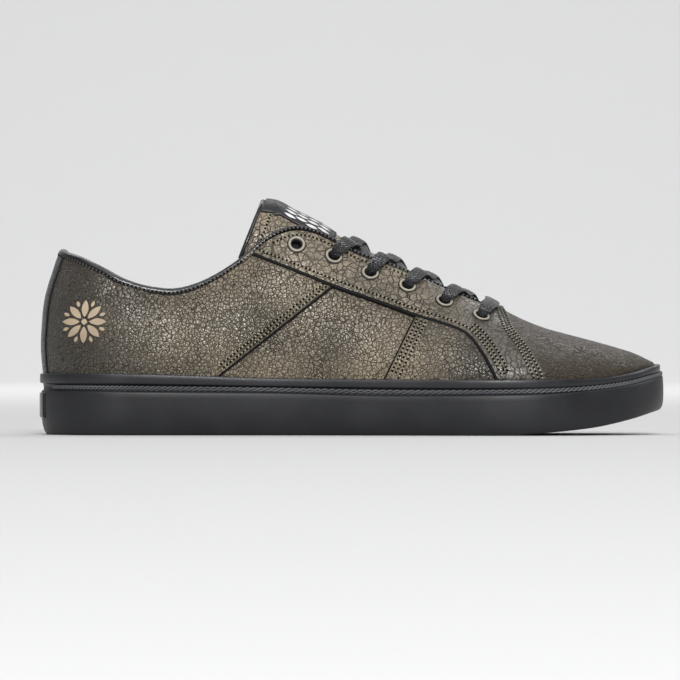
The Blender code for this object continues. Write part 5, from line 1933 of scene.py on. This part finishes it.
def leaf(bm, centre, angle, length, width):
    """A pointed leaf, or a diamond where width is half the length, at an angle in the side view."""

    def place(u, v):
        run = (u - 0.5) * length
        half = width / 2 * np.sin(math.pi * u) ** 0.8
        off = (v - 0.5) * 2 * half
        dx = centre[0] + run * math.cos(angle) - off * math.sin(angle)
        dz = centre[1] + run * math.sin(angle) + off * math.cos(angle)
        return printed_place(dx, dz)

    laid_sheet(bm, 10, 4, place)


def heel_print():
    bm = bmesh.new()
    for k in range(PETALS):
        a = 2 * math.pi * k / PETALS
        leaf(bm, (0.0062 * math.cos(a), 0.0062 * math.sin(a)), a, 0.0080, 0.0032)
        b = a + math.pi / PETALS
        leaf(bm, (0.0090 * math.cos(b), 0.0090 * math.sin(b)), b, 0.0030, 0.0016)
    leaf(bm, (0.0, 0.0), 0.0, 0.0028, 0.0028)
    return finish_mesh(bm, "heel_rosette", HEEL_PRINT)


def label_print():
    bm = bmesh.new()
    for start, count in LEAF_ROWS:
        for k in range(count):
            centre = 0.5 + (k - (count - 1) / 2) * 0.043

            def place(u, v, centre=centre, start=start):
                half = np.sin(math.pi * u)
                a = LABEL_END * (start + 0.17 * u)
                b = centre + (v - 0.5) * 0.026 * half
                return tongue_face(a, b) + tongue_normal(a, b) * 0.00100

            laid_sheet(bm, 8, 4, place)
    return finish_mesh(bm, "label_leaves", LABEL_PRINT)


rides(heel_print())
rides(label_print())
print("prints on")

# %% [markdown]
# Floor, light and camera
#
# The shoe stands on a pale seamless sweep. Large soft lights from above and in front give the broad
# sheen of the leather. The camera looks level at the outer side from far away, so it hardly shrinks
# what is farther off.

# %% Sweep and lights
SWEEP_NEAR, SWEEP_BEND, SWEEP_RADIUS, SWEEP_WIDE, SWEEP_WALL = -6.0, 4.4, 2.4, 6.0, 3.0
SWEEP_GREY = 0.57


def sweep():
    bm = bmesh.new()
    bmesh.ops.create_grid(bm, x_segments=2, y_segments=80, size=1.0)
    flat = SWEEP_BEND - SWEEP_NEAR
    bend = SWEEP_RADIUS * math.pi / 2
    for vertex in bm.verts:
        run = (vertex.co.y + 1) / 2 * (flat + bend)
        angle = max(0.0, run - flat) / SWEEP_RADIUS
        vertex.co.x *= SWEEP_WIDE
        vertex.co.y = SWEEP_NEAR + min(run, flat) + SWEEP_RADIUS * math.sin(angle)
        vertex.co.z = SWEEP_RADIUS * (1 - math.cos(angle))
    top = [e for e in bm.edges if e.is_boundary and all(v.co.z > SWEEP_RADIUS * 0.99 for v in e.verts)]
    made = bmesh.ops.extrude_edge_only(bm, edges=top)
    raised = [g for g in made["geom"] if isinstance(g, bmesh.types.BMVert)]
    bmesh.ops.translate(bm, verts=raised, vec=(0, 0, SWEEP_WALL))
    material, _, shader = new_material("pale sweep", 0.9)
    shader["Base Color"].default_value = (SWEEP_GREY, SWEEP_GREY, SWEEP_GREY, 1.0)
    finish_mesh(bm, "sweep", material)


# Each light: name, place, width and height, watts, what it points at.
SHOE_MIDDLE = (0.0, 0.0, 0.05)
LIGHTS = (
    ("top box", (0.0, -1.0, 2.2), (2.6, 2.0), 34.0, SHOE_MIDDLE),
    ("key box", (0.30, -4.6, 2.2), (1.0, 0.6), 165.0, SHOE_MIDDLE),
    ("toe rim", (1.3, 0.5, 0.8), (0.5, 0.9), 4.0, SHOE_MIDDLE),
    ("back wash", (0.0, 3.0, 3.0), (4.0, 2.0), 145.0, (0.0, 4.6, 0.0)),
)


def soft_light(name, place, size, power, target):
    light = bpy.data.lights.new(name, "AREA")
    light.shape = "RECTANGLE"
    light.size, light.size_y = size
    light.energy = power
    lamp = bpy.data.objects.new(name, light)
    lamp.location = place
    lamp.rotation_euler = (Vector(target) - Vector(place)).to_track_quat("-Z", "Y").to_euler()
    bpy.context.scene.collection.objects.link(lamp)


sweep()
for light in LIGHTS:
    soft_light(*light)
world = bpy.data.worlds.new("studio")
world.use_nodes = True
sky = world.node_tree.nodes["Background"].inputs
sky["Color"].default_value = (0.95, 0.96, 0.98, 1.0)
sky["Strength"].default_value = 0.30
bpy.context.scene.world = world
bpy.context.scene.view_settings.view_transform = "Standard"

# %% Camera at the photograph's angle
FRAME_WIDTH = 0.327
CAMERA_AWAY = 3.5
SENSOR = 36.0
camera_data = bpy.data.cameras.new("camera")
camera_data.sensor_width = SENSOR
camera_data.lens = SENSOR * CAMERA_AWAY / FRAME_WIDTH
camera_data.clip_end = 50.0
camera = bpy.data.objects.new("camera", camera_data)
camera.location = (-0.0055, -CAMERA_AWAY, 0.0454)
camera.rotation_euler = (math.pi / 2, 0.0, 0.0)
bpy.context.scene.collection.objects.link(camera)
bpy.context.scene.camera = camera
